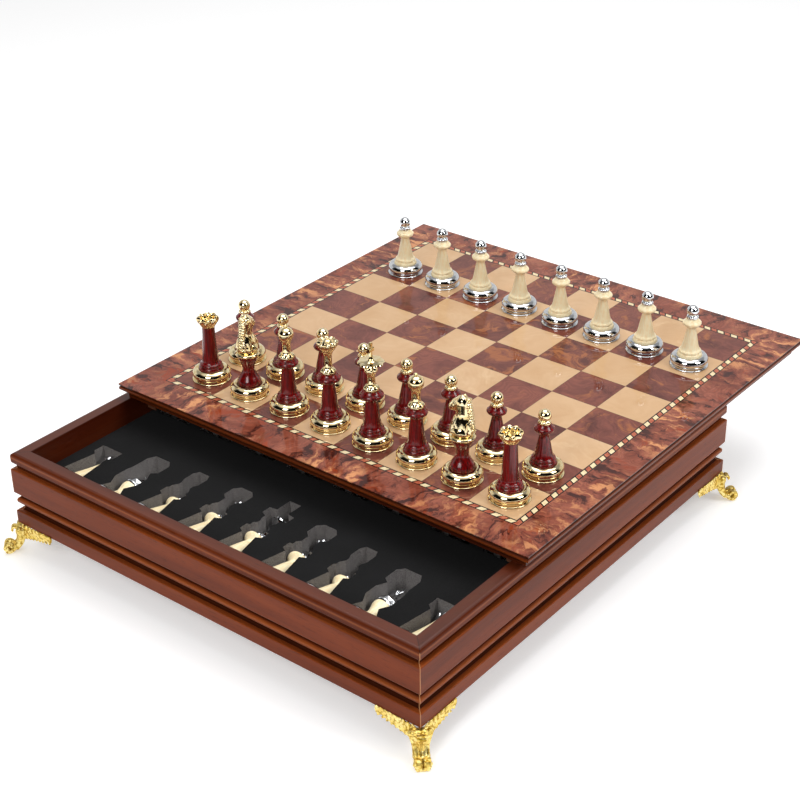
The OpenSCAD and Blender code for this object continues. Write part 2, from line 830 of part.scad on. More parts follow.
// A chessman on the board; file and rank count from 0 at the near left corner
module on_square(file, rank) {
    on_board() translate([(file - 3.5) * square, (rank - 3.5) * square, board_z]) children();
}

module red_man(i) {
    forward = 90;
    turn = i == 1 ? left_knight_turn : i == 6 ? right_knight_turn : forward;
    on_square(i, 0) rotate(turn) man(BACK_RANK[i], REDWOOD, GOLD);
}

// A chessman lying in the front row of pockets, with its base towards the front rail
module stored_man(i) {
    kind = MEN[i];
    side = men_x(i) < 0 ? 0 : 180;
    y = -half_w + row_margin + pocket_clear + lean_back(kind);
    in_case() translate([men_x(i), y, axis_z(kind)])
        rotate([-90 - lean(kind), 0, 0]) rotate(side) man(kind, IVORY, STEEL);
}

for (i = [0 : 7]) {
    name = str("red_", BACK_RANK[i], "_", FILES[i]);
    red_man(i);
}
for (i = [0 : 7]) {
    name = str("red_pawn_", FILES[i]);
    on_square(i, 1) man("pawn", REDWOOD, GOLD);
}
for (i = [0 : 7]) {
    name = str("white_pawn_", FILES[i]);
    on_square(i, 6) man("pawn", IVORY, STEEL);
}
stored_man(0);  // white_rook_a
stored_man(1);  // white_knight_b
stored_man(2);  // white_bishop_c
stored_man(3);  // white_queen_d
stored_man(4);  // white_king_e
stored_man(5);  // white_spare_queen
stored_man(6);  // white_bishop_f
stored_man(7);  // white_knight_g
stored_man(8);  // white_rook_h
front_rail();
back_rail();
left_rail();
right_rail();
bottom_panel();
foam_base();
foam_tray_front();
foam_tray_back();
foot_front_left();
foot_front_right();
foot_back_left();
foot_back_right();
foot_screws();
board_core();
board_edging();
dark_squares();
light_squares();
inlay_band();
border_veneer();
guide_batten_left();
guide_batten_right();
batten_screws();
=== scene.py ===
import math

import bmesh
import bpy
import numpy as np
from mathutils import Matrix, Vector


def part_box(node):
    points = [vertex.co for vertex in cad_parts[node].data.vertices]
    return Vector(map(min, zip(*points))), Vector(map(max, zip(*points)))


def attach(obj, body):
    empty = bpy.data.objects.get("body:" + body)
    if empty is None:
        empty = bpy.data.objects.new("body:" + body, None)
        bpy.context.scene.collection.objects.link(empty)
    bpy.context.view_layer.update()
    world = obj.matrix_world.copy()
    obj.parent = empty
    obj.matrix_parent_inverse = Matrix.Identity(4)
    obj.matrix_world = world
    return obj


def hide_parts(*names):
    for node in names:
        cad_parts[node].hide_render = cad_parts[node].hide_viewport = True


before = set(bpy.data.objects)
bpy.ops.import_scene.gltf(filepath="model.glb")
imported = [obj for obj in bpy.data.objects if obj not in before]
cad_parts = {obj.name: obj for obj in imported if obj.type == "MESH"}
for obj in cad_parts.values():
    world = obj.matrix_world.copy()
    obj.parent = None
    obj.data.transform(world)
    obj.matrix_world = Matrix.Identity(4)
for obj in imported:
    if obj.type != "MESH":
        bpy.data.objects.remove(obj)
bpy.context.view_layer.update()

# ---- Camera ------------------------------------------------------------------------------
# A long lens stands at the box's near right corner, well above the board. It is aimed from
# the middle of the playing surface, in steps of one square.
SQUARE = 0.038
AZIMUTH, ELEVATION, ROLL = (math.radians(a) for a in (38.94, 29.50, -0.823))
STEPS_BACK, STEPS_RIGHT, STEPS_UP = 32.73, -1.301, -0.763
FOCAL_PIXELS, IMAGE_PIXELS, SENSOR = 1677.0, 800.0, 36.0
FAR_CLIP = 20

edging_low, edging_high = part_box("board_edging")
board_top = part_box("light_squares")[1].z
board_middle = Vector(((edging_low.x + edging_high.x) / 2,
                       (edging_low.y + edging_high.y) / 2, board_top))
back = Vector((math.sin(AZIMUTH) * math.cos(ELEVATION),
               -math.cos(AZIMUTH) * math.cos(ELEVATION), math.sin(ELEVATION)))
level = Vector((0, 0, 1)).cross(back).normalized()
upright = back.cross(level)
right = math.cos(ROLL) * level + math.sin(ROLL) * upright
up = math.cos(ROLL) * upright - math.sin(ROLL) * level

camera = bpy.data.objects.new("camera", bpy.data.cameras.new("camera"))
bpy.context.scene.collection.objects.link(camera)
bpy.context.scene.camera = camera
camera.data.sensor_width = SENSOR
camera.data.lens = FOCAL_PIXELS / IMAGE_PIXELS * SENSOR
camera.data.clip_end = FAR_CLIP
place = board_middle + SQUARE * (back * STEPS_BACK + right * STEPS_RIGHT + up * STEPS_UP)
camera.matrix_world = Matrix.Translation(place) @ Matrix((right, up, back)).transposed().to_4x4()
bpy.context.scene.view_settings.view_transform = "Standard"

# ---- Studio ------------------------------------------------------------------------------
# A white sweep stands behind and below the box, and the room behind the camera is dark, so
# that polished metal shows both. Soft boxes in front, to the right and above light it.


def colour(code):
    """Linear colour from a hex code such as 8c5f5a."""
    parts = [int(code[i:i + 2], 16) / 255 for i in (0, 2, 4)]
    return (*[c / 12.92 if c < 0.04045 else ((c + 0.055) / 1.055) ** 2.4 for c in parts], 1.0)


def add(tree, kind, inputs=None, **settings):
    """New node in a tree. An input is a value, or another node's output to link from. The
    settings come first, so that a group node has its sockets."""
    made = tree.nodes.new("ShaderNode" + kind)
    for key, value in settings.items():
        setattr(made, key, value)
    for key, value in (inputs or {}).items():
        if isinstance(value, bpy.types.NodeSocket):
            tree.links.new(value, made.inputs[key])
        else:
            made.inputs[key].default_value = value
    return made


def maths(tree, operation, *values):
    """Output of a Math node."""
    return add(tree, "Math", dict(enumerate(values)), operation=operation).outputs[0]


def mix(tree, amount, first, second):
    """Output of a colour Mix node."""
    return add(tree, "Mix", {0: amount, 6: first, 7: second}, data_type="RGBA").outputs[2]


def spread(tree, value, low, high, to_low=0.0, to_high=1.0):
    """A value moved smoothly from one range to another."""
    made = add(tree, "MapRange", {0: value, 1: low, 2: high, 3: to_low, 4: to_high},
               interpolation_type="SMOOTHSTEP")
    return made.outputs[0]


WHITE = (1.0, 1.0, 1.0, 1.0)
DARK_ROOM = (0.006, 0.006, 0.006, 1.0)
DIM_WALL = (0.42, 0.42, 0.43, 1.0)
ROOM_LIGHT = 0.75
# Heights in the sky where the wall dims, the room ends and the ceiling starts, from 0 to 1
WALL_DIMS, ROOM_ENDS, CEILING_STARTS = (0.46, 0.62), (0.70, 0.84), (0.76, 0.88)
ROOM_SIDE = (-0.35, -0.05)
world = bpy.data.worlds.new("studio")
bpy.context.scene.world = world
world.use_nodes = True
tree = world.node_tree
direction = add(tree, "TexCoord").outputs["Generated"]
toward = Vector((back.x, back.y, 0)).normalized()
facing = add(tree, "VectorMath", {0: direction, 1: toward},
             operation="DOT_PRODUCT").outputs["Value"]
height = add(tree, "SeparateXYZ", {0: direction}).outputs["Z"]
room = maths(tree, "MULTIPLY", spread(tree, facing, *ROOM_SIDE),
             spread(tree, height, *ROOM_ENDS, 1.0, 0.0))
wall = mix(tree, spread(tree, height, *WALL_DIMS), WHITE, DIM_WALL)
ceiling = mix(tree, spread(tree, height, *CEILING_STARTS), wall, WHITE)
seen = mix(tree, room, ceiling, DARK_ROOM)
camera_ray = add(tree, "LightPath").outputs["Is Camera Ray"]
background = tree.nodes["Background"].inputs
tree.links.new(mix(tree, camera_ray, seen, WHITE), background["Color"])
tree.links.new(maths(tree, "MAXIMUM", camera_ray, ROOM_LIGHT), background["Strength"])


def soft_box(name, azimuth, elevation, distance, size, power):
    """Square area lamp that looks at the middle of the board."""
    lamp = bpy.data.lights.new(name, "AREA")
    lamp.shape, lamp.size, lamp.energy = "SQUARE", size, power
    lamp_object = bpy.data.objects.new(name, lamp)
    bpy.context.scene.collection.objects.link(lamp_object)
    a, e = math.radians(azimuth), math.radians(elevation)
    out = Vector((math.sin(a) * math.cos(e), -math.cos(a) * math.cos(e), math.sin(e)))
    lamp_object.location = board_middle + out * distance
    lamp_object.rotation_mode = "QUATERNION"
    lamp_object.rotation_quaternion = out.to_track_quat("Z", "Y")


soft_box("front_soft_box", azimuth=10, elevation=32, distance=1.15, size=0.42, power=4.8)
soft_box("right_soft_box", azimuth=98, elevation=38, distance=1.5, size=0.55, power=8)
soft_box("top_soft_box", azimuth=200, elevation=80, distance=1.6, size=1.3, power=15)

FLOOR_HALF = 6.0
FLOOR_PAINT = (0.82, 0.82, 0.82, 1.0)
FLOOR_GLOW = 0.38
floor_mesh = bpy.data.meshes.new("floor")
floor_mesh.from_pydata([(x * FLOOR_HALF, y * FLOOR_HALF, 0)
                        for x, y in ((-1, -1), (1, -1), (1, 1), (-1, 1))], [], [(0, 1, 2, 3)])
floor = bpy.data.objects.new("floor", floor_mesh)
bpy.context.scene.collection.objects.link(floor)
floor_paint = bpy.data.materials.new("floor_paint")
floor_paint.use_nodes = True
tree = floor_paint.node_tree
shader = tree.nodes["Principled BSDF"]
shader.inputs["Base Color"].default_value = FLOOR_PAINT
shader.inputs["Roughness"].default_value = 0.9
shader.inputs["Specular IOR Level"].default_value = 0.0
rays = add(tree, "LightPath")
seen_ray = maths(tree, "MAXIMUM", rays.outputs["Is Camera Ray"], rays.outputs["Is Glossy Ray"])
tree.links.new(maths(tree, "MULTIPLY", seen_ray, FLOOR_GLOW), shader.inputs["Emission Strength"])
shader.inputs["Emission Color"].default_value = WHITE
floor_mesh.materials.append(floor_paint)

# ---- Case --------------------------------------------------------------------------------
# Four rails of reddish brown hardwood, moulded, mitred and sprayed with gloss lacquer. Highlights
# are painted along the arrises of the mouldings, and shade is painted in the grooves and over the
# rim.
MM = 0.001


def group(name, inputs, outputs):
    """New shader node group with named sockets."""
    made = bpy.data.node_groups.new(name, "ShaderNodeTree")
    for label, kind, default in inputs:
        socket = made.interface.new_socket(label, in_out="INPUT", socket_type="NodeSocket" + kind)
        if default is not None:
            socket.default_value = default
    for label, kind in outputs:
        made.interface.new_socket(label, in_out="OUTPUT", socket_type="NodeSocket" + kind)
    return made, made.nodes.new("NodeGroupInput").outputs, made.nodes.new("NodeGroupOutput").inputs


def use(tree, made, inputs):
    """Places a node group in a material."""
    return add(tree, "Group", inputs, node_tree=made).outputs


def material(name, roughness, coat=0.0, coat_roughness=0.05, metallic=0.0, specular=0.5):
    """New material with its Principled shader, and the object coordinates."""
    made = bpy.data.materials.new(name)
    made.use_nodes = True
    tree = made.node_tree
    shader = tree.nodes["Principled BSDF"]
    shader.inputs["Roughness"].default_value = roughness
    shader.inputs["Coat Weight"].default_value = coat
    shader.inputs["Coat Roughness"].default_value = coat_roughness
    shader.inputs["Metallic"].default_value = metallic
    shader.inputs["Specular IOR Level"].default_value = specular
    return made, tree, shader, add(tree, "TexCoord").outputs["Object"]


def ramp(tree, value, stops):
    """Colour ramp with stops of (place, hex code)."""
    made = add(tree, "ValToRGB", {0: value})
    bars = made.color_ramp.elements
    while len(bars) < len(stops):
        bars.new(0.5)
    for bar, (where, code) in zip(bars, stops):
        bar.position = where
        bar.color = colour(code)
    return made.outputs[0]


def bump(tree, shader, height, strength, distance):
    """Bump from a height to a shader's normal."""
    made = add(tree, "Bump", {"Height": height, "Strength": strength, "Distance": distance})
    tree.links.new(made.outputs[0], shader.inputs["Normal"])


# Straight grain: long fibres, broad bands and short pores, all running along X
straight_grain, given, gives = group(
    "straight_grain", [("Vector", "Vector", None)],
    [("Bands", "Float"), ("Fibres", "Float"), ("Pores", "Float")])
tree = straight_grain
wander = add(tree, "TexNoise", {"Vector": given["Vector"], "Scale": 9.0, "Detail": 2.0})
bent = add(tree, "VectorMath", {0: wander.outputs["Color"], 1: (0.0, 0.004, 0.004)},
           operation="MULTIPLY").outputs[0]
bent = add(tree, "VectorMath", {0: given["Vector"], 1: bent}).outputs[0]
long_way = add(tree, "Mapping", {"Vector": bent, "Scale": (4, 70, 70)})
bands = add(tree, "TexNoise", {"Vector": long_way.outputs[0], "Scale": 1.0, "Detail": 4.0})
fine_way = add(tree, "Mapping", {"Vector": bent, "Scale": (18, 900, 900)})
fibres = add(tree, "TexNoise", {"Vector": fine_way.outputs[0], "Scale": 1.0, "Detail": 3.0})
pore_way = add(tree, "Mapping", {"Vector": bent, "Scale": (120, 2200, 2200)})
pores = add(tree, "TexNoise", {"Vector": pore_way.outputs[0], "Scale": 1.0, "Detail": 1.0})
tree.links.new(bands.outputs["Fac"], gives["Bands"])
tree.links.new(fibres.outputs["Fac"], gives["Fibres"])
tree.links.new(spread(tree, pores.outputs["Fac"], 0.63, 0.72), gives["Pores"])


def along_grain(tree, place, along_y):
    """Straight grain along X or along Y."""
    turn = (0, 0, math.pi / 2 if along_y else 0)
    turned_place = add(tree, "Mapping", {"Vector": place, "Rotation": turn}).outputs[0]
    return use(tree, straight_grain, {"Vector": turned_place})


# Heights of the mouldings above the rails' underside, in millimetres
rail_low, rail_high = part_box("front_rail")
case_low, case_high = rail_low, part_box("back_rail")[1]
case_middle, case_half = (case_low + case_high) / 2, (case_high - case_low) / 2
PLINTH, BEAD_LOW, BEAD_HIGH = 10.6, 15.4, 21.4
FRIEZE_LOW, FRIEZE_HIGH, RIM_LOW, RIM_HIGH = 24.6, 44.8, 48.2, 57.2
RAMP_TOP = RIM_HIGH + 1
MITRE_LINE = 0.4 * MM
STAIN_BANDS = [(0.30, "6a2d14"), (0.50, "803818"), (0.72, "904420")]
# Grain colours, then the painted shade of the grooves and rim, and the painted highlight of the
# mouldings' arrises
FIBRE_STAIN, PORE_STAIN, MOULDING_SHADE, MOULDING_HIGHLIGHT = "4a1c0c", "2a0e07", "140402", "b8651f"
# Painted shade of the rails' inner faces, the dark line of the mitres on the rim's top, and the
# painted highlight down the mitred arrises
INNER_SHADE, MITRE_SHADE, MITRE_GLINT = "2c0604", "1c0805", "d89c6c"
# How much painted highlight and how much painted shade shows at each height: the highlights lie
# along the arrises of the plinth, bead, frieze and rim, the shade in the grooves and over the rim's
# side and top
HIGHLIGHT_BY_HEIGHT = [
    (0.0, "383838"), (1.2, "000000"), (PLINTH - 0.5, "000000"), (PLINTH - 0.1, "909090"),
    (PLINTH + 0.3, "000000"), (BEAD_LOW + 1.6, "000000"), (BEAD_LOW + 3.6, "b8b8b8"),
    (BEAD_HIGH - 1.2, "909090"), (BEAD_HIGH - 0.4, "000000"), (FRIEZE_LOW, "000000"),
    (FRIEZE_LOW + 0.4, "606060"), (FRIEZE_LOW + 1.4, "000000"), (FRIEZE_HIGH - 1.0, "000000"),
    (FRIEZE_HIGH - 0.3, "989898"), (FRIEZE_HIGH + 0.6, "000000"), (RIM_HIGH - 4.8, "000000"),
    (RIM_HIGH - 3.6, "b8b8b8"), (RIM_HIGH - 2.4, "000000")]
SHADE_BY_HEIGHT = [
    (PLINTH, "000000"), (PLINTH + 0.5, "e8e8e8"), (BEAD_LOW + 0.2, "f0f0f0"),
    (BEAD_LOW + 2.4, "000000"), (BEAD_HIGH - 0.8, "000000"), (BEAD_HIGH, "e0e0e0"),
    (FRIEZE_LOW - 0.2, "e0e0e0"), (FRIEZE_LOW + 0.6, "000000"), (FRIEZE_HIGH, "000000"),
    (FRIEZE_HIGH + 0.8, "d8d8d8"), (RIM_LOW + 0.2, "d8d8d8"), (RIM_LOW + 1.8, "a0a0a0"),
    (RIM_HIGH - 4.8, "808080"), (RIM_HIGH - 3.6, "000000"), (RIM_HIGH - 2.6, "909090"),
    (RIM_HIGH - 0.5, "c0c0c0")]


def up_the_rail(height):
    """Place of a height in the ramps, which end just above the rim."""
    return height / RAMP_TOP


def walnut(name, along_y):
    """Red brown lacquered hardwood of the rails, with its grain along X or along Y, and painted
    highlights and shade on its mouldings.
    """
    made, tree, shader, place = material(name, roughness=0.32, specular=0.12)
    grain = along_grain(tree, place, along_y)
    tint = ramp(tree, grain["Bands"], STAIN_BANDS)
    tint = mix(tree, maths(tree, "MULTIPLY", grain["Fibres"], 0.30), tint, colour(FIBRE_STAIN))
    plain = mix(tree, maths(tree, "MULTIPLY", grain["Pores"], 0.5), tint, colour(PORE_STAIN))
    level = maths(tree, "SUBTRACT", add(tree, "SeparateXYZ", {0: place}).outputs["Z"], rail_low.z)
    level = maths(tree, "DIVIDE", level, RAMP_TOP * MM)
    # Painted highlights along the arrises of the mouldings
    painted_highlight = ramp(tree, level, [(up_the_rail(height), code) for height, code in HIGHLIGHT_BY_HEIGHT])
    tint = mix(tree, maths(tree, "MULTIPLY", painted_highlight, 0.7), plain, colour(MOULDING_HIGHLIGHT))
    # Painted shade in the grooves, under the rim and over the rim's side and top
    painted_shade = ramp(tree, level, [(up_the_rail(height), code) for height, code in SHADE_BY_HEIGHT])
    tint = mix(tree, painted_shade, tint, colour(MOULDING_SHADE))
    # The joints at the corners, a dark line across the rim's top and a painted highlight down the
    # mitred arrises below it, and painted shade on the rails' inner faces beside the foam
    from_middle = add(tree, "SeparateXYZ", {0: add(
        tree, "VectorMath", {0: place, 1: case_middle}, operation="SUBTRACT").outputs[0]})
    in_x, in_y = (maths(tree, "SUBTRACT", half, maths(tree, "ABSOLUTE", from_middle.outputs[axis]))
                  for half, axis in ((case_half.x, "X"), (case_half.y, "Y")))
    mitre = maths(tree, "LESS_THAN", maths(tree, "ABSOLUTE", maths(
        tree, "SUBTRACT", in_x, in_y)), MITRE_LINE)
    outer = spread(tree, level, up_the_rail(RIM_HIGH - 3), up_the_rail(RIM_HIGH - 1.5), 1.0, 0.0)
    tint = mix(tree, maths(tree, "MULTIPLY", mitre, 0.6), tint,
               mix(tree, outer, colour(MITRE_SHADE), colour(MITRE_GLINT)))
    thick = rail_high.y - rail_low.y
    inside = spread(tree, maths(tree, "MINIMUM", in_x, in_y), thick - 0.4 * MM, thick - 0.1 * MM)
    tint = mix(tree, inside, tint, mix(tree, 0.75, plain, colour(INNER_SHADE)))
    tree.links.new(tint, shader.inputs["Base Color"])
    # The lacquer reflects more on the rim's top, and less where shade is painted
    gloss = spread(tree, level, up_the_rail(RIM_HIGH - 1), up_the_rail(RIM_HIGH - 0.3), 0.12, 0.9)
    tree.links.new(maths(tree, "MULTIPLY", gloss, maths(tree, "SUBTRACT", 1.0, painted_shade)),
                   shader.inputs["Specular IOR Level"])
    relief = maths(tree, "ADD", grain["Fibres"], maths(tree, "MULTIPLY", grain["Pores"], -1.5))
    bump(tree, shader, relief, 0.10, 0.0004)
    return made


def paint(node, made):
    """Gives a CAD node its material."""
    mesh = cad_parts[node].data
    mesh.materials.clear()
    mesh.materials.append(made)


walnut_x = walnut("walnut_along_x", along_y=False)
walnut_y = walnut("walnut_along_y", along_y=True)
paint("front_rail", walnut_x)
paint("back_rail", walnut_x)
paint("left_rail", walnut_y)
paint("right_rail", walnut_y)

# ---- Bottom panel, core and battens ------------------------------------------------------
# A thin sheet let into the rails closes the case below. A flat core carries the veneers, and
# two planed battens under it slide between the rails. All are stained, and have no lacquer.


def plain_wood(name, pale, dark, along_y=False):
    """Stained wood without lacquer."""
    made, tree, shader, place = material(name, roughness=0.6)
    grain = along_grain(tree, place, along_y)
    tint = mix(tree, grain["Bands"], colour(dark), colour(pale))
    tint = mix(tree, maths(tree, "MULTIPLY", grain["Pores"], 0.5), tint, colour(dark))
    tree.links.new(tint, shader.inputs["Base Color"])
    bump(tree, shader, grain["Fibres"], 0.2, 0.0003)
    return made


paint("bottom_panel", plain_wood("panel_wood", "8a5a3c", "5a3320"))
paint("board_core", plain_wood("core_wood", "6b4029", "40210f"))
batten_wood = plain_wood("batten_wood", "7a4a30", "4a2616", along_y=True)
paint("guide_batten_left", batten_wood)
paint("guide_batten_right", batten_wood)

# ---- Screws ------------------------------------------------------------------------------
# Plain steel wood screws, faintly brushed and oiled. Two hold each foot to the rails, and
# three hold each batten under the board.
steel, tree, shader, place = material("screw_steel", roughness=0.35, metallic=1.0)
smear = add(tree, "TexNoise", {"Vector": place, "Scale": 900.0, "Detail": 2.0}).outputs["Fac"]
tree.links.new(ramp(tree, smear, [(0.3, "8e8d8a"), (0.7, "b9b8b4")]), shader.inputs["Base Color"])
tree.links.new(spread(tree, smear, 0.3, 0.7, 0.25, 0.45), shader.inputs["Roughness"])
paint("foot_screws", steel)
paint("batten_screws", steel)

# ---- Foam tray ---------------------------------------------------------------------------
# Black foam, flocked on top. The pockets are die cut, so that their walls show the grey,
# open cells of the foam.
foam, tree, shader, place = material("black_foam", roughness=0.95)
shader.inputs["Specular IOR Level"].default_value = 0.15
shader.inputs["Sheen Weight"].default_value = 0.05
shader.inputs["Sheen Roughness"].default_value = 0.5
tilt = add(tree, "SeparateXYZ", {0: add(tree, "NewGeometry").outputs["True Normal"]}).outputs["Z"]
wall = spread(tree, tilt, 0.3, 0.7, 1.0, 0.0)
flock = add(tree, "TexNoise", {"Vector": place, "Scale": 2600.0, "Detail": 2.0}).outputs["Fac"]
patchy = add(tree, "TexNoise", {"Vector": place, "Scale": 28.0, "Detail": 3.0}).outputs["Fac"]
cells = add(tree, "TexVoronoi", {"Vector": place, "Scale": 1500.0}).outputs["Distance"]
top_tint = mix(tree, spread(tree, flock, 0.35, 0.75), colour("090909"), colour("171718"))
top_tint = mix(tree, spread(tree, patchy, 0.4, 0.8), top_tint, colour("141415"))
wall_tint = mix(tree, spread(tree, cells, 0.1, 0.6), colour("4a4746"), colour("7c7876"))
tree.links.new(mix(tree, wall, top_tint, wall_tint), shader.inputs["Base Color"])
bump(tree, shader, maths(tree, "ADD", flock, maths(tree, "MULTIPLY", cells, wall)), 0.5, 0.0004)
for node in ("foam_base", "foam_tray_front", "foam_tray_back"):
    paint(node, foam)

# ---- Board edging ------------------------------------------------------------------------
# Solid edging of the case's wood, glued round the core and mitred at the corners. A highlight is
# painted along the nose, and shade is painted in the cove below and over the nose's top, by the
# joint with the veneer above.
EDGING_BANDS = [(0.30, "54200c"), (0.50, "6c2e10"), (0.72, "8a4218")]
# Painted highlight along the middle of the rounded nose, and painted shade in the cove below it and
# over its top
NOSE_HIGHLIGHT = [(0.0, "000000"), (0.46, "000000"), (0.56, "808080"), (0.70, "a0a0a0"),
                (0.80, "202020"), (0.86, "000000")]
EDGING_SHADE = [(0.0, "909090"), (0.38, "e8e8e8"), (0.50, "000000"), (0.80, "000000"),
                    (0.88, "e0e0e0"), (1.0, "f0f0f0")]


def around_board(tree, place):
    """Place from the board's middle, its parts, and how far it lies out along X and Y."""
    place = add(tree, "VectorMath", {0: place, 1: board_middle}, operation="SUBTRACT").outputs[0]
    parts = add(tree, "SeparateXYZ", {0: place}).outputs
    return place, parts, *(maths(tree, "ABSOLUTE", parts[axis]) for axis in "XY")


edging, tree, shader, place = material("edging_wood", roughness=0.3, specular=0.14)
side = maths(tree, "GREATER_THAN", *around_board(tree, place)[2:])
crosswise = add(tree, "Mapping", {"Vector": place, "Rotation": (0, 0, math.pi / 2)}).outputs[0]
way = add(tree, "Mix", {0: side, 4: place, 5: crosswise}, data_type="VECTOR").outputs[1]
grain = use(tree, straight_grain, {"Vector": way})
tint = ramp(tree, grain["Bands"], EDGING_BANDS)
tint = mix(tree, maths(tree, "MULTIPLY", grain["Fibres"], 0.5), tint, colour("461a0e"))
rise = maths(tree, "SUBTRACT", add(tree, "SeparateXYZ", {0: place}).outputs["Z"], edging_low.z)
rise = maths(tree, "DIVIDE", rise, edging_high.z - edging_low.z)
# Painted highlight on the nose, then painted shade in the cove and at the top
tint = mix(tree, ramp(tree, rise, NOSE_HIGHLIGHT), tint, colour("a4501c"))
tint = mix(tree, ramp(tree, rise, EDGING_SHADE), tint, colour("1a0603"))
tree.links.new(tint, shader.inputs["Base Color"])
bump(tree, shader, grain["Fibres"], 0.08, 0.0003)
paint("board_edging", edging)

# ---- Veneers -----------------------------------------------------------------------------
# Burl veneers under a thick gloss lacquer. Each square is its own cut, so its figure starts
# somewhere else. The border is four long strips with a wilder figure.

# Burl: swirling growth lines round clouded eyes
burl, given, gives = group(
    "burl", [("Vector", "Vector", None), ("Scale", "Float", 30.0), ("Swirl", "Float", 1.0)],
    [("Clouds", "Float"), ("Lines", "Float"), ("Flames", "Float"), ("Specks", "Float")])
tree = burl
scaled = add(tree, "VectorMath", {0: given["Vector"], "Scale": given["Scale"]},
             operation="SCALE").outputs[0]
warp = add(tree, "TexNoise", {"Vector": scaled, "Scale": 0.9, "Detail": 3.0}).outputs["Color"]
warp = add(tree, "VectorMath", {0: warp, 1: (0.5, 0.5, 0.5)}, operation="SUBTRACT").outputs[0]
warp = add(tree, "VectorMath", {0: warp, "Scale": given["Swirl"]}, operation="SCALE").outputs[0]
swirled = add(tree, "VectorMath", {0: scaled, 1: warp}).outputs[0]
clouds = add(tree, "TexNoise", {"Vector": swirled, "Scale": 1.3, "Detail": 5.0,
                                "Roughness": 0.6}).outputs["Fac"]
field = add(tree, "TexNoise", {"Vector": swirled, "Scale": 0.7, "Detail": 1.5}).outputs["Fac"]
lines = maths(tree, "SINE", maths(tree, "MULTIPLY", field, 150.0))
flames = add(tree, "TexNoise", {"Vector": swirled, "Scale": 0.8, "Detail": 4.0,
                                "Roughness": 0.7, "Distortion": 1.6}).outputs["Fac"]
specks = add(tree, "TexNoise", {"Vector": scaled, "Scale": 26.0, "Detail": 2.0}).outputs["Fac"]
tree.links.new(clouds, gives["Clouds"])
tree.links.new(maths(tree, "MULTIPLY_ADD", lines, 0.5, 0.5), gives["Lines"])
tree.links.new(flames, gives["Flames"])
tree.links.new(specks, gives["Specks"])

LACQUER, LACQUER_ROUGHNESS = 0.62, 0.03
PER_SQUARE, JOINT = 0.35, 0.2 * MM
JOINT_TINT, PALE_STREAK, DARK_STREAK = "24100a", "dc9864", "2c0603"


def veneer(name, scale, swirl, clouds, line_tint, line_amount, flame_tint, flame_from,
           speck_amount, per_square):
    """Figured veneer under clear lacquer, laid in squares or in strips along the edges."""
    made, tree, shader, place = material(name, roughness=0.45, coat=LACQUER, specular=0.08,
                                         coat_roughness=LACQUER_ROUGHNESS)
    place, parts, out_x, out_y = around_board(tree, place)
    if per_square:
        cell = add(tree, "VectorMath", {0: place, "Scale": 1 / SQUARE}, operation="SCALE")
        cell = add(tree, "VectorMath", {0: cell.outputs[0], 1: (0.0, 0.0, 0.5)})
        cell = add(tree, "VectorMath", {0: cell.outputs[0]}, operation="FLOOR")
        random = add(tree, "TexWhiteNoise", {"Vector": cell.outputs[0]}, noise_dimensions="3D")
        place = add(tree, "VectorMath", {0: place, 1: random.outputs["Color"]}).outputs[0]
    figure = use(tree, burl, {"Vector": place, "Scale": scale, "Swirl": swirl})
    tint = ramp(tree, figure["Clouds"], clouds)
    lines = maths(tree, "MULTIPLY", figure["Lines"], line_amount)
    tint = mix(tree, lines, tint, colour(line_tint))
    if per_square:
        tint = mix(tree, maths(tree, "MULTIPLY", random.outputs["Value"], PER_SQUARE), tint,
                   colour(line_tint))
        luck = add(tree, "SeparateXYZ", {0: random.outputs["Color"]}).outputs["Y"]
        flame = maths(tree, "SUBTRACT", figure["Flames"], maths(tree, "MULTIPLY", luck, 0.12))
        flame = spread(tree, flame, flame_from, flame_from + 0.16)
        tint = mix(tree, flame, tint, colour(flame_tint))
        to_x, to_y = (maths(tree, "PINGPONG", maths(tree, "DIVIDE", out, SQUARE), 0.5)
                      for out in (out_x, out_y))
        joint = maths(tree, "LESS_THAN", maths(tree, "MINIMUM", to_x, to_y), JOINT / SQUARE)
        tint = mix(tree, maths(tree, "MULTIPLY", joint, 0.7), tint, colour(JOINT_TINT))
    else:
        side = maths(tree, "GREATER_THAN", out_x, out_y)
        along = add(tree, "Mix", {0: side, 2: parts["X"], 3: parts["Y"]}).outputs[0]
        across = add(tree, "Mix", {0: side, 2: parts["Y"], 3: parts["X"]}).outputs[0]
        bend = maths(tree, "MULTIPLY", figure["Clouds"], 0.03)
        way = add(tree, "CombineXYZ", {0: maths(tree, "ADD", along, bend), 2: side,
                                       1: maths(tree, "MULTIPLY", across, 0.28)}).outputs[0]
        streaks = add(tree, "TexNoise", {"Vector": way, "Scale": 105.0, "Detail": 4.0,
                                         "Roughness": 0.65}).outputs["Fac"]
        patches = add(tree, "TexNoise", {"Vector": place, "Scale": 11.0, "Detail": 1.0})
        where = maths(tree, "MULTIPLY", spread(tree, patches.outputs["Fac"], 0.38, 0.58), 0.9)
        pale = maths(tree, "MULTIPLY", spread(tree, streaks, 0.50, 0.62), where)
        tint = mix(tree, pale, tint, colour(PALE_STREAK))
        dark = maths(tree, "MULTIPLY", spread(tree, streaks, 0.49, 0.38), 0.9)
        tint = mix(tree, dark, tint, colour(DARK_STREAK))
        flame = spread(tree, figure["Flames"], flame_from, flame_from + 0.14)
        tint = mix(tree, flame, tint, colour(flame_tint))
    specks = maths(tree, "MULTIPLY", spread(tree, figure["Specks"], 0.62, 0.75), speck_amount)
    tint = mix(tree, specks, tint, colour(line_tint))
    tree.links.new(tint, shader.inputs["Base Color"])
    bump(tree, shader, figure["Specks"], 0.02, 0.0002)
    return made


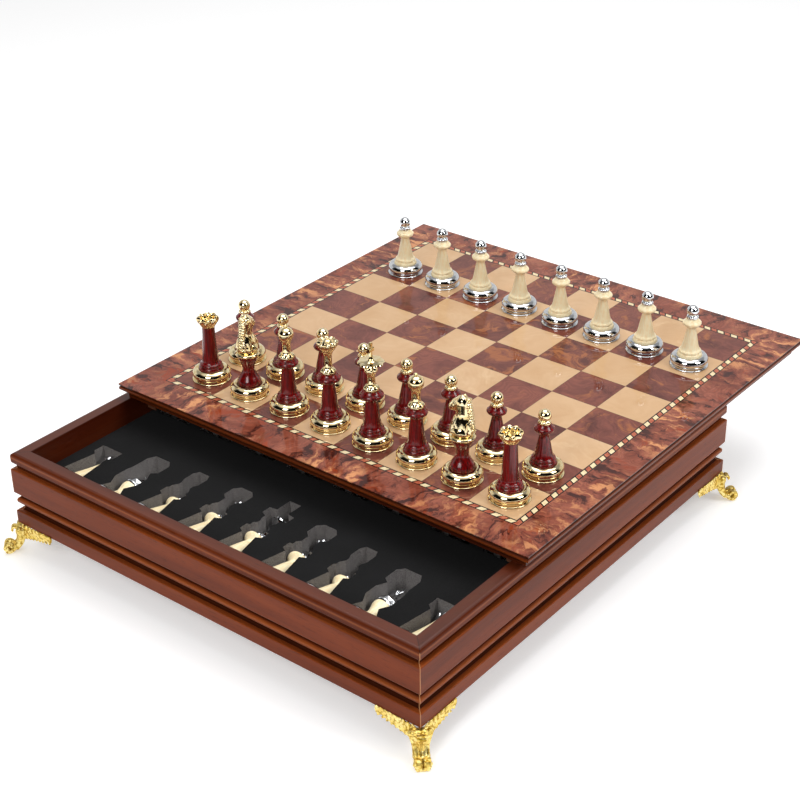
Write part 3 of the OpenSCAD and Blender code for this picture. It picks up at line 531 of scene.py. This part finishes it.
paint("dark_squares", veneer(
    "dark_burl", scale=34.0, swirl=1.6,
    clouds=[(0.30, "5a2820"), (0.48, "7c4236"), (0.62, "8a4c3c"), (0.80, "9c5a3c")],
    line_tint="3a1510", line_amount=0.26, flame_tint="9c5c36", flame_from=0.48,
    speck_amount=0.35, per_square=True))
paint("light_squares", veneer(
    "light_burl", scale=22.0, swirl=0.8,
    clouds=[(0.30, "c8a076"), (0.50, "d0aa82"), (0.75, "d7b48e")],
    line_tint="bc9466", line_amount=0.12, flame_tint="d6b48c", flame_from=0.50,
    speck_amount=0.12, per_square=True))
paint("border_veneer", veneer(
    "border_burl", scale=26.0, swirl=2.4,
    clouds=[(0.28, "5c2216"), (0.46, "86422e"), (0.60, "985440"), (0.80, "a86040")],
    line_tint="3c120a", line_amount=0.26, flame_tint="92360e", flame_from=0.56,
    speck_amount=0.6, per_square=False))

# ---- Inlay band --------------------------------------------------------------------------
# A band let in round the squares and lacquered with the veneers: slanting tiles of cream, red
# and dark wood between two dark lines.
TILE = 11.4 * MM
CREAM_SHARE, DARK_SHARE = 0.42, 0.10
BAND_WIDTH, BAND_LINE = 5.0 * MM, 0.8 * MM
SLANT = 0.55
CREAM_INLAY = [(0.3, "e0c898"), (0.7, "f0deb6")]
RED_INLAY = [(0.3, "94402a"), (0.7, "c47050")]
DARK_INLAY = "160805"
inlay, tree, shader, place = material("inlay_tiles", roughness=0.4, coat=LACQUER, specular=0.08,
                                      coat_roughness=LACQUER_ROUGHNESS)
place, parts, out_x, out_y = around_board(tree, place)
side = maths(tree, "GREATER_THAN", out_x, out_y)
along = add(tree, "Mix", {0: side, 2: parts["X"], 3: parts["Y"]}).outputs[0]
across = maths(tree, "SUBTRACT", maths(tree, "MAXIMUM", out_x, out_y), 4 * SQUARE)
slanted = maths(tree, "ADD", along, maths(tree, "MULTIPLY", across, SLANT))
phase = maths(tree, "FRACT", maths(tree, "DIVIDE", slanted, TILE))
grain = add(tree, "TexNoise", {"Vector": place, "Scale": 420.0, "Detail": 3.0}).outputs["Fac"]
in_cream = maths(tree, "LESS_THAN", phase, CREAM_SHARE)
tint = mix(tree, in_cream, ramp(tree, grain, RED_INLAY), ramp(tree, grain, CREAM_INLAY))
for start in (CREAM_SHARE, 1 - DARK_SHARE):
    over = maths(tree, "GREATER_THAN", phase, start)
    under = maths(tree, "LESS_THAN", phase, start + DARK_SHARE)
    tint = mix(tree, maths(tree, "MULTIPLY", over, under), tint, colour(DARK_INLAY))
edge = maths(tree, "ABSOLUTE", maths(tree, "SUBTRACT", across, BAND_WIDTH / 2))
edge = maths(tree, "GREATER_THAN", edge, BAND_WIDTH / 2 - BAND_LINE)
tint = mix(tree, edge, tint, colour(DARK_INLAY))
tree.links.new(tint, shader.inputs["Base Color"])
bump(tree, shader, grain, 0.02, 0.0002)
paint("inlay_band", inlay)

# ---- Chessmen ----------------------------------------------------------------------------
# Each man is a polished cast base and head on a turned, lacquered wooden body. One side is
# gilt and red, the other chromed and ivory. Outlines are (radius, height, depth of the
# valleys between the cast lobes), in millimetres from the base's underside.
SIDES, LOBES = 72, 8


def arc(middle, radius, start, end, steps, flat=1.0):
    """Part of a circle or oval in an outline, between two angles in degrees from level."""
    angles = [math.radians(start + (end - start) * i / steps) for i in range(steps + 1)]
    return [(middle[0] + radius * math.cos(a), middle[1] + radius * flat * math.sin(a))
            for a in angles]


def turned(bm, outline, slot):
    """Adds a turned or lobed form."""
    rings = []
    for point in outline:
        radius, z, dent = (*point, 0)[:3]
        if radius < 0.01:
            rings.append([bm.verts.new((0, 0, z))])
            continue
        ring = []
        for i in range(SIDES):
            a = 2 * math.pi * i / SIDES
            reach = radius - dent * (1 - abs(math.cos(LOBES * a / 2)))
            ring.append(bm.verts.new((reach * math.cos(a), reach * math.sin(a), z)))
        rings.append(ring)
    for low, high in zip(rings, rings[1:]):
        for i in range(SIDES):
            j = (i + 1) % SIDES
            if len(low) == 1:
                corners = (low[0], high[j], high[i])
            elif len(high) == 1:
                corners = (low[i], low[j], high[0])
            else:
                corners = (low[i], low[j], high[j], high[i])
            bm.faces.new(corners).material_index = slot


def dab(bm, x, y, z, radius, flat=(1, 1, 1)):
    """One ball of wax in a modelled form."""
    put = Matrix.Translation((x, y, z)) @ Matrix.Diagonal((*[radius * f for f in flat], 1))
    bmesh.ops.create_icosphere(bm, subdivisions=2, radius=1, matrix=put)


def stroke(bm, stops, flat=(1, 1, 1), step=0.8):
    """A run of balls along a smooth path of (x, y, z, radius)."""
    stops = [np.array(s, float) for s in stops]
    line = [2 * stops[0] - stops[1], *stops, 2 * stops[-1] - stops[-2]]
    for a, b, c, d in zip(line, line[1:], line[2:], line[3:]):
        count = max(2, int(np.linalg.norm((c - b)[:3]) / step))
        for i in range(count + 1):
            t = i / count
            at = 0.5 * (2 * b + (c - a) * t + (2 * a - 5 * b + 4 * c - d) * t ** 2
                        + (3 * b - a - 3 * c + d) * t ** 3)
            dab(bm, *at, flat)


def cast(bm, voxel, softening):
    """Melts the balls of a modelled form into one skin, rubs it and returns its mesh."""
    rough = bpy.data.meshes.new("rough")
    bm.to_mesh(rough)
    bm.free()
    block = bpy.data.objects.new("rough", rough)
    bpy.context.scene.collection.objects.link(block)
    melt = block.modifiers.new("melt", "REMESH")
    melt.mode, melt.voxel_size = "VOXEL", voxel
    rub = block.modifiers.new("rub", "SMOOTH")
    rub.factor, rub.iterations = 0.5, softening
    melted = block.evaluated_get(bpy.context.evaluated_depsgraph_get())
    made = bpy.data.meshes.new_from_object(melted)
    bpy.data.objects.remove(block)
    return made


METAL, WOOD = 0, 1
BASE = [(0, 0), (13.6, 0), (14.1, 0.2), (14.2, 0.55), (14.0, 0.9), (13.3, 1.05), (12.7, 1.3),
        *arc((9.6, 4.95), 4.35, -46, 84, 18, 0.9), (9.3, 8.75), (8.8, 8.4), (8.2, 7.6), (0, 7.4)]
FOOT = [(8.0, 7.6), (8.6, 7.9), (8.95, 8.7), (8.9, 9.7), (8.5, 10.5), (8.0, 10.9), (8.15, 11.3),
        (8.2, 12.0), (7.8, 12.7), (7.2, 13.0)]


def collar(neck, radius, top, seat):
    """Flared neck and thick round collar under a head."""
    return [(neck, top - 8.0), (neck + 0.3, top - 7.0), (neck + 1.3, top - 6.1),
            (radius - 1.4, top - 5.4), (radius - 0.4, top - 4.7), (radius, top - 3.8),
            (radius - 0.1, top - 2.9), (radius - 0.8, top - 2.1), (radius - 1.6, top - 1.5),
            (seat, top - 0.6), (seat - 0.4, top), (0, top)]


BODIES = {
    "pawn": FOOT + [(6.6, 14.0), (5.9, 16.5), (5.2, 20), (4.4, 24), (3.7, 27.5)]
            + collar(3.3, 6.9, 37.8, 4.8),
    "rook": FOOT + [(6.3, 13.6), (6.0, 15.5), (5.7, 19), (5.2, 26), (4.8, 33), (4.6, 39),
                    (4.6, 42), (0, 42)],
    "knight": [(7.7, 7.6), (8.3, 8.3), (8.6, 9.6), (8.4, 11.2), (7.7, 12.8), (6.5, 14.6),
               (5.3, 16.8), (4.5, 19.2), (4.35, 21), (4.7, 23.2), (5.7, 26), (6.9, 28.4),
               (7.7, 30.2), (7.8, 31.5), (0, 31.5)],
    "bishop": FOOT + [(6.6, 13.8), (6.2, 15), (5.6, 19), (5.0, 25), (4.5, 30)]
              + collar(4.2, 7.9, 41.0, 6.4),
    "queen": FOOT + [(6.7, 13.8), (6.3, 15), (5.7, 19), (5.1, 25), (4.5, 30)]
             + collar(4.2, 8.5, 41.5, 6.2),
    "king": FOOT + [(6.8, 13.8), (6.4, 15), (5.8, 19), (5.2, 25), (4.6, 30)]
            + collar(4.3, 8.4, 41.0, 6.2),
}
HEADS = {
    "pawn": [(3.2, 37.6), (4.2, 38.0, 0.3), (4.5, 38.9, 0.5), (4.2, 39.9, 0.5), (3.2, 40.6, 0.3),
             *arc((0, 43.7), 4.4, -42, 90, 14)],
    "rook": [(4.2, 41.8), (5.0, 42.2), (5.4, 43.0), (6.5, 44.4, 0.9), (7.7, 46.2, 1.8),
             (8.3, 47.9, 2.5), (8.0, 49.2, 2.6), (7.2, 50.0, 2.2), (6.3, 49.8, 1.4),
             (5.5, 48.9, 0.7), (4.9, 47.4), (4.5, 46.3), (0, 46.0)],
    "knight": [(7.0, 31.3), (8.4, 31.6), (9.0, 32.4), (9.0, 33.1), (8.3, 33.8), (7.2, 34.2),
               (0, 34.4)],
    "bishop": [(4.6, 40.8), (5.5, 41.3, 0.5), (5.9, 42.3, 1.0), (5.4, 43.5, 1.1), (4.2, 44.5, 0.6),
               (3.3, 45.3), (3.0, 46.4), (2.9, 49.2), (2.9, 51.6), (3.3, 53.6), (4.3, 55.6),
               (5.1, 57.4), (5.5, 59.3), (5.2, 61.2), (4.2, 62.7), (2.9, 63.6), (1.4, 64.1),
               *arc((0, 64.9), 1.5, -30, 90, 6)],
    "queen": [(4.4, 41.3), (5.2, 41.8, 0.5), (5.6, 42.9, 1.0), (5.1, 44.1, 1.1), (4.0, 45.1, 0.6),
              (3.1, 46.0), (2.8, 47.4), (2.7, 50), (2.7, 53.5), (2.9, 56), (3.5, 57.8),
              (4.7, 59.4, 0.4), (6.1, 61.2, 0.9), (7.2, 62.9, 1.6), (7.6, 64.6, 2.1),
              (7.2, 65.9, 2.1), (6.3, 66.4, 1.5), (5.1, 65.9, 0.7), (4.2, 65.4), (3.3, 66.4),
              (2.1, 67.2), (1.2, 67.5),
              *arc((0, 67.9), 1.3, -20, 90, 6)],
    "king": [(4.5, 40.8), (5.3, 41.3, 0.5), (5.7, 42.4, 1.0), (5.2, 43.6, 1.1), (4.0, 44.6, 0.6),
             (3.1, 45.5), (2.8, 46.8), (2.7, 50), (2.7, 53.0), (3.2, 53.9), (4.3, 54.8, 0.6),
             (4.6, 56.2, 1.0), (4.2, 57.7, 0.9), (3.4, 58.7, 0.4), (3.8, 59.5), (6.2, 60.5, 0.7),
             (8.7, 61.4, 1.6), (9.3, 62.1, 1.1), (8.8, 62.9, 1.1), (6.6, 63.1, 0.6), (3.6, 63.2),
             (2.2, 64.0), (1.6, 65.2), (1.3, 66.2), (0, 66.3)],
}
CROSS = [(-1.1, 65.4), (-0.75, 70.0), (-2.7, 69.5), (-2.7, 72.7), (-0.75, 72.2), (-1.3, 76.5),
         (1.3, 76.5), (0.75, 72.2), (2.7, 72.7), (2.7, 69.5), (0.75, 70.0), (1.1, 65.4)]
CROSS_THICK, CROSS_BEVEL = 1.9, 0.25
LOCKS = 13
NECK_RIBS = (-50, -25, 0, 25, 50, 130, 155, 205, 230)


def horse():
    """Knight's neck and head, looking along +X."""
    bm = bmesh.new()
    slim = (1, 0.86, 1)
    stroke(bm, [(0.2, 0, 39.6, 8.3), (0.0, 0, 42, 7.5), (-0.5, 0, 46, 5.9), (-0.6, 0, 50, 5.1),
                (-0.3, 0, 54, 5.2), (0.0, 0, 57.2, 5.5)], slim)
    dab(bm, 0.2, 0, 37.6, 8.6, (1, 1, 0.62))
    stroke(bm, [(1.0, 0, 56.8, 4.8), (3.8, 0, 55.8, 4.1), (6.2, 0, 54.0, 3.3), (7.4, 0, 52.8, 2.8)],
           (1, 0.8, 1))
    stroke(bm, [(1.5, 0, 54.0, 3.6), (5.2, 0, 52.2, 2.4)], slim)
    for side in (-1, 1):
        stroke(bm, [(-0.8, 2.0 * side, 60.4, 1.6), (-0.6, 2.4 * side, 61.9, 0.8)])
        dab(bm, 3.4, 3.3 * side, 57.2, 0.9)
        dab(bm, 8.6, 1.6 * side, 53.6, 0.8)
        stroke(bm, [(2.2, 3.7 * side, 58.4, 0.5), (1.6, 4.1 * side, 55.0, 0.5),
                    (2.4, 3.6 * side, 51.8, 0.5)], step=0.4)
        stroke(bm, [(5.6, 2.9 * side, 56.6, 0.45), (5.4, 3.2 * side, 54.4, 0.45),
                    (5.0, 2.4 * side, 51.6, 0.45)], step=0.4)
    dab(bm, 1.6, 0, 61.0, 1.3)
    for i in range(LOCKS):
        t = i / (LOCKS - 1)
        mane_x, mane_z = -4.6 - 1.4 * math.sin(2.0 * t) - 1.9 * t * t, 61.0 - 22.5 * t
        for lock in (-1, 1):
            dab(bm, mane_x, 1.0 * lock, mane_z + 0.4 * lock, 1.3, (1.35, 1.3, 0.55))
    for azimuth in NECK_RIBS:
        a = math.radians(azimuth)
        stroke(bm, [(0.2 + 8.4 * math.cos(a), 7.6 * math.sin(a), 36.6, 0.7),
                    (0.1 + 7.4 * math.cos(a), 6.6 * math.sin(a), 41.5, 0.8),
                    (-0.3 + 5.5 * math.cos(a), 4.9 * math.sin(a), 46.5, 0.5)], step=0.5)
    return cast(bm, voxel=0.42, softening=2)


def man_mesh(kind, metal, wood):
    """Mesh of one kind of man, standing on its base."""
    bm = bmesh.new()
    turned(bm, BASE, METAL)
    turned(bm, BODIES[kind], WOOD)
    turned(bm, HEADS[kind], METAL)
    if kind == "king":
        front = [bm.verts.new((x, -CROSS_THICK / 2, z)) for x, z in CROSS]
        face = bm.faces.new(front)
        pushed = bmesh.ops.extrude_face_region(bm, geom=[face])["geom"]
        back_verts = [v for v in pushed if isinstance(v, bmesh.types.BMVert)]
        bmesh.ops.translate(bm, verts=back_verts, vec=(0, CROSS_THICK, 0))
        edges = {e for v in front + back_verts for e in v.link_edges}
        bmesh.ops.bevel(bm, geom=list(edges), offset=CROSS_BEVEL, segments=2,
                        affect="EDGES")
    if kind == "knight":
        bm.from_mesh(horse())
    bmesh.ops.recalc_face_normals(bm, faces=bm.faces)
    made = bpy.data.meshes.new(kind)
    bm.to_mesh(made)
    bm.free()
    made.transform(Matrix.Scale(MM, 4))
    made.materials.append(metal)
    made.materials.append(wood)
    made.shade_smooth()
    made.set_sharp_from_angle(angle=math.radians(50))
    return made


def polished(name, tint, shade, roughness):
    """Polished plating with faint haze and casting waves."""
    made, tree, shader, place = material(name, roughness=roughness, metallic=1.0)
    haze = add(tree, "TexNoise", {"Vector": place, "Scale": 240.0, "Detail": 3.0}).outputs["Fac"]
    tree.links.new(mix(tree, spread(tree, haze, 0.35, 0.75), colour(tint), colour(shade)),
                   shader.inputs["Base Color"])
    tree.links.new(spread(tree, haze, 0.3, 0.8, roughness, roughness * 2.2),
                   shader.inputs["Roughness"])
    bump(tree, shader, haze, 0.06, 0.0004)
    return made


def turned_wood(name, tint, shade, roughness, coat):
    """Fine grained turned wood under coloured lacquer."""
    made, tree, shader, place = material(name, roughness=roughness, coat=coat, coat_roughness=0.12,
                                         specular=0.3)
    upright = add(tree, "Mapping", {"Vector": place, "Rotation": (0, math.pi / 2, 0)}).outputs[0]
    grain = use(tree, straight_grain, {"Vector": upright})
    fleck = add(tree, "TexNoise", {"Vector": place, "Scale": 900.0, "Detail": 2.0}).outputs["Fac"]
    tone = mix(tree, spread(tree, grain["Fibres"], 0.35, 0.7), colour(tint), colour(shade))
    tree.links.new(mix(tree, spread(tree, fleck, 0.55, 0.8), tone, colour(shade)),
                   shader.inputs["Base Color"])
    bump(tree, shader, maths(tree, "ADD", grain["Fibres"], fleck), 0.12, 0.0003)
    return made


gold = polished("polished_gilding", "f6e6bc", "e6c98c", roughness=0.05)
chrome = polished("chromed_metal", "e2e4e6", "cdd0d4", roughness=0.04)
red_wood = turned_wood("red_lacquer", "840909", "3c0303", roughness=0.26, coat=0.5)
ivory_wood = turned_wood("ivory_lacquer", "fff3ce", "fbe2b0", roughness=0.40, coat=0.30)
KINDS = ["rook", "knight", "bishop", "queen", "king", "bishop", "knight", "rook"]
FILES = "abcdefgh"
red_meshes = {kind: man_mesh(kind, gold, red_wood) for kind in BODIES}
white_meshes = {}
for kind, mesh in red_meshes.items():
    white_meshes[kind] = mesh.copy()
    white_meshes[kind].materials[METAL] = chrome
    white_meshes[kind].materials[WOOD] = ivory_wood


def put_man(node, mesh, placing):
    """Sets a man in the place of its CAD node."""
    made = bpy.data.objects.new(node + "_looks", mesh)
    bpy.context.scene.collection.objects.link(made)
    made.matrix_world = placing
    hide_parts(node)
    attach(made, node)


# Degrees by which the men on the board are turned, from facing right
FACING, KNIGHT_FACING = 90, {"red_knight_b": 100, "red_knight_g": 190}


def stand(node, mesh):
    """Stands a man on its square."""
    low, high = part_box(node)
    foot = Vector(((low.x + high.x) / 2, (low.y + high.y) / 2, low.z))
    turn = math.radians(KNIGHT_FACING.get(node, FACING))
    put_man(node, mesh, Matrix.Translation(foot) @ Matrix.Rotation(turn, 4, "Z"))


for letter, kind in zip(FILES, KINDS):
    stand("red_%s_%s" % (kind, letter), red_meshes[kind])
    stand("red_pawn_" + letter, red_meshes["pawn"])
    stand("white_pawn_" + letter, white_meshes["pawn"])

# Stored men lie on their base's ring and on the widest part of their head, which is given by
# its height and radius
BASE_R, RING_Z = 14.2, 4.2
HEAD_RESTS = {"king": (62.0, 9.3), "queen": (64.9, 7.6), "bishop": (59.0, 5.5),
              "knight": (35.95, 9.5), "rook": (50.0, 8.3)}
STORED = [("white_rook_a", "rook"), ("white_knight_b", "knight"), ("white_bishop_c", "bishop"),
          ("white_queen_d", "queen"), ("white_king_e", "king"), ("white_spare_queen", "queen"),
          ("white_bishop_f", "bishop"), ("white_knight_g", "knight"), ("white_rook_h", "rook")]
for node, kind in STORED:
    rest_z, rest_r = HEAD_RESTS[kind]
    lean = math.atan((BASE_R - rest_r) / (rest_z - RING_Z))
    low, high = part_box(node)
    middle = (low.x + high.x) / 2
    heel = Vector((middle, low.y + BASE_R * math.sin(lean) * MM,
                   low.z + (BASE_R * math.cos(lean) + RING_Z * math.sin(lean)) * MM))
    turn = 0 if middle < case_middle.x - MM else math.pi
    laid = Matrix.Rotation(-math.pi / 2 - lean, 4, "X") @ Matrix.Rotation(turn, 4, "Z")
    put_man(node, white_meshes[kind], Matrix.Translation(heel) @ laid)

# ---- Feet --------------------------------------------------------------------------------
# Cast, chased and gilt corner feet. An acanthus leaf runs along the plinth on each side, its
# ribs gather into an S-shaped leg with a curl at its top, and the leg ends in two rolled toes.
DIAGONAL = math.sqrt(0.5)
LEAF_FLAT = 0.75
UNDER_CASE = 23.9
BEADS, STEM_BEADS = 9, 8


def foot_mesh():
    """Foot of the front left corner in mm, with the case's corner at the origin."""
    bm = bmesh.new()

    def at(out, aside, z):
        """Place from the distance out along the diagonal, aside across it and the height."""
        return (-out * DIAGONAL + aside * DIAGONAL, -out * DIAGONAL - aside * DIAGONAL, z)

    def run(stops):
        """Stroke through stops of distance out, aside, height and size."""
        stroke(bm, [(*at(*s[:3]), s[3]) for s in stops])

    def scroll(out, z, count, turn, reach, size, ends):
        """Rolled scroll about a line aside. Reach and size are a start and a loss per step."""
        for i in range(count):
            a, r = math.radians(200 - turn * i), reach[0] - reach[1] * i
            run([(out + r * math.cos(a), end, z + r * math.sin(a), size[0] - size[1] * i)
                 for end in ends])

    def both(stops):
        """The same stroke on both leaves. Stops are along the plinth, out from it, height, size."""
        stroke(bm, [(x, -y, z, r) for x, y, z, r in stops], (1, LEAF_FLAT, 1))
        stroke(bm, [(-y, x, z, r) for x, y, z, r in stops], (LEAF_FLAT, 1, 1))

    # The leg, front and back
    for aside in (-3.6, -1.2, 1.2, 3.6):
        run([(-1.0, aside * 1.5, 20.5, 2.5), (-0.9, aside * 1.25, 16, 2.2), (-0.3, aside, 12, 2.0),
             (1.3, aside * 0.95, 8.6, 1.9), (4.2, aside * 0.9, 5.0, 1.8),
             (7.4, aside * 0.85, 1.9, 1.7), (10.0, aside * 0.85, 1.6, 1.6)])
    for aside in (-4.8, -2.4, 0, 2.4, 4.8):
        run([(-2.6, aside, 20, 2.6), (-2.2, aside * 0.85, 14, 2.1), (-0.6, aside * 0.75, 9, 1.8),
             (2.6, aside * 0.8, 5.0, 1.7)])
    # The rolled toes, the curl at the leg's top and the rib between them
    for side in (-1, 1):
        scroll(9.4, 4.6, 12, 27, (3.9, 0.22), (1.1, 0.03), (1.3 * side, 4.3 * side))
        dab(bm, *at(9.4, 4.6 * side, 4.8), 1.5)
        scroll(3.6, 19.2, 9, 30, (2.4, 0.14), (0.8, 0.02), (0.4 * side, 2.4 * side))
        run([(0.6, 5.4 * side, 21.4, 1.1), (1.4, 3.4 * side, 18.4, 1.2),
             (1.5, 1.6 * side, 14.4, 1.0), (2.4, 1.0 * side, 10.6, 0.8)])
    # The leaves' ribs, and the beads along their edges
    for stops in (
            [(1.5, -0.6, 16.5, 2.6), (6, -0.8, 18.9, 2.5), (13, -0.9, 20.5, 2.2),
             (22, -0.9, 21.4, 1.9), (32, -0.8, 22.4, 1.5)],
            [(0.5, 0.2, 11.5, 1.5), (3, 0.1, 14.2, 1.5), (7.5, 0, 16.6, 1.5), (14, 0, 18.6, 1.4),
             (23, 0, 19.9, 1.3), (31, 0.1, 21.0, 1.2)],
            [(0.2, 0.6, 7.5, 1.5), (1.6, 0.5, 11.0, 1.6), (4.6, 0.2, 13.4, 1.6),
             (10, 0, 15.4, 1.6), (18, 0, 17.6, 1.5), (27, 0, 19.8, 1.3)],
            [(0.5, -0.4, 14.0, 2.0), (4, -0.6, 16.0, 2.0), (10, -0.6, 17.6, 1.9),
             (18, -0.6, 19.6, 1.7), (28, -0.6, 21.2, 1.5)],
            [(0.6, 0.4, 15.5, 1.2), (4, 0.3, 18.0, 1.2), (10, 0.3, 20.2, 1.15),
             (18, 0.3, 21.5, 1.1), (27, 0.3, 22.3, 1.05), (33.4, 0.3, 23.3, 1.0)],
            [(1.0, 0.5, 19.5, 1.2), (6, 0.4, 21.5, 1.2), (13, 0.35, 22.8, 1.1),
             (22, 0.3, 23.3, 1.0), (33.0, 0.4, 24.2, 1.0)]):
        both(stops)
    for i in range(BEADS):
        x, low = 4.5 + 3.5 * i, 12.2 + 6.6 * (i / (BEADS - 1)) ** 0.75
        both([(x, 0.3, 23.2 + 0.10 * i, 1.0), (x + 1.4, 0.45, 24.2 + 0.05 * i, 0.85)])
        both([(x - 1.5, 0.2, low + 1.0, 0.9), (x, 0.3, low, 0.9)])
    both([(33.2, 0.2, 20.6, 1.2), (33.8, 0.2, 22.4, 1.3), (33.6, 0.3, 24.4, 1.2)])
    # Beads down the leg's front
    for i in range(STEM_BEADS):
        for side in (-1, 1):
            dab(bm, *at(2.9 - 0.62 * i + 0.05 * i * i, (0.9 + 0.26 * i) * side, 8.4 + 1.4 * i),
                0.75)
    made = cast(bm, voxel=0.36, softening=1)
    # Ground flat at the floor, and where the case stands on it
    for v in made.vertices:
        v.co.z = max(v.co.z, 0.0)
        if v.co.x > 0 and v.co.y > 0:
            v.co.z = min(v.co.z, UNDER_CASE)
    made.transform(Matrix.Scale(MM, 4))
    made.shade_smooth()
    return made


gilt, tree, shader, place = material("foot_gilding", roughness=0.4, metallic=1.0)
mottle = add(tree, "TexNoise", {"Vector": place, "Scale": 160.0, "Detail": 4.0}).outputs["Fac"]
chasing = add(tree, "TexVoronoi", {"Vector": place, "Scale": 520.0}).outputs["Distance"]
tint = mix(tree, spread(tree, mottle, 0.3, 0.7), colour("ffeca0"), colour("f0d26c"))
tree.links.new(mix(tree, spread(tree, chasing, 0.45, 0.80), tint, colour("b8922c")),
               shader.inputs["Base Color"])
tree.links.new(spread(tree, mottle, 0.3, 0.8, 0.38, 0.52), shader.inputs["Roughness"])
bump(tree, shader, chasing, 0.15, 0.0006)
foot = foot_mesh()
foot.name = "foot"
foot.materials.append(gilt)
# The four feet are one casting, turned by a quarter at each corner
for number, (node, x, y) in enumerate((("foot_front_left", case_low.x, case_low.y),
                                       ("foot_front_right", case_high.x, case_low.y),
                                       ("foot_back_right", case_high.x, case_high.y),
                                       ("foot_back_left", case_low.x, case_high.y))):
    made = bpy.data.objects.new(node + "_looks", foot)
    bpy.context.scene.collection.objects.link(made)
    quarter_turns = Matrix.Rotation(math.pi / 2 * number, 4, "Z")
    made.matrix_world = Matrix.Translation((x, y, 0)) @ quarter_turns
    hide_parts(node)
    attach(made, "case")
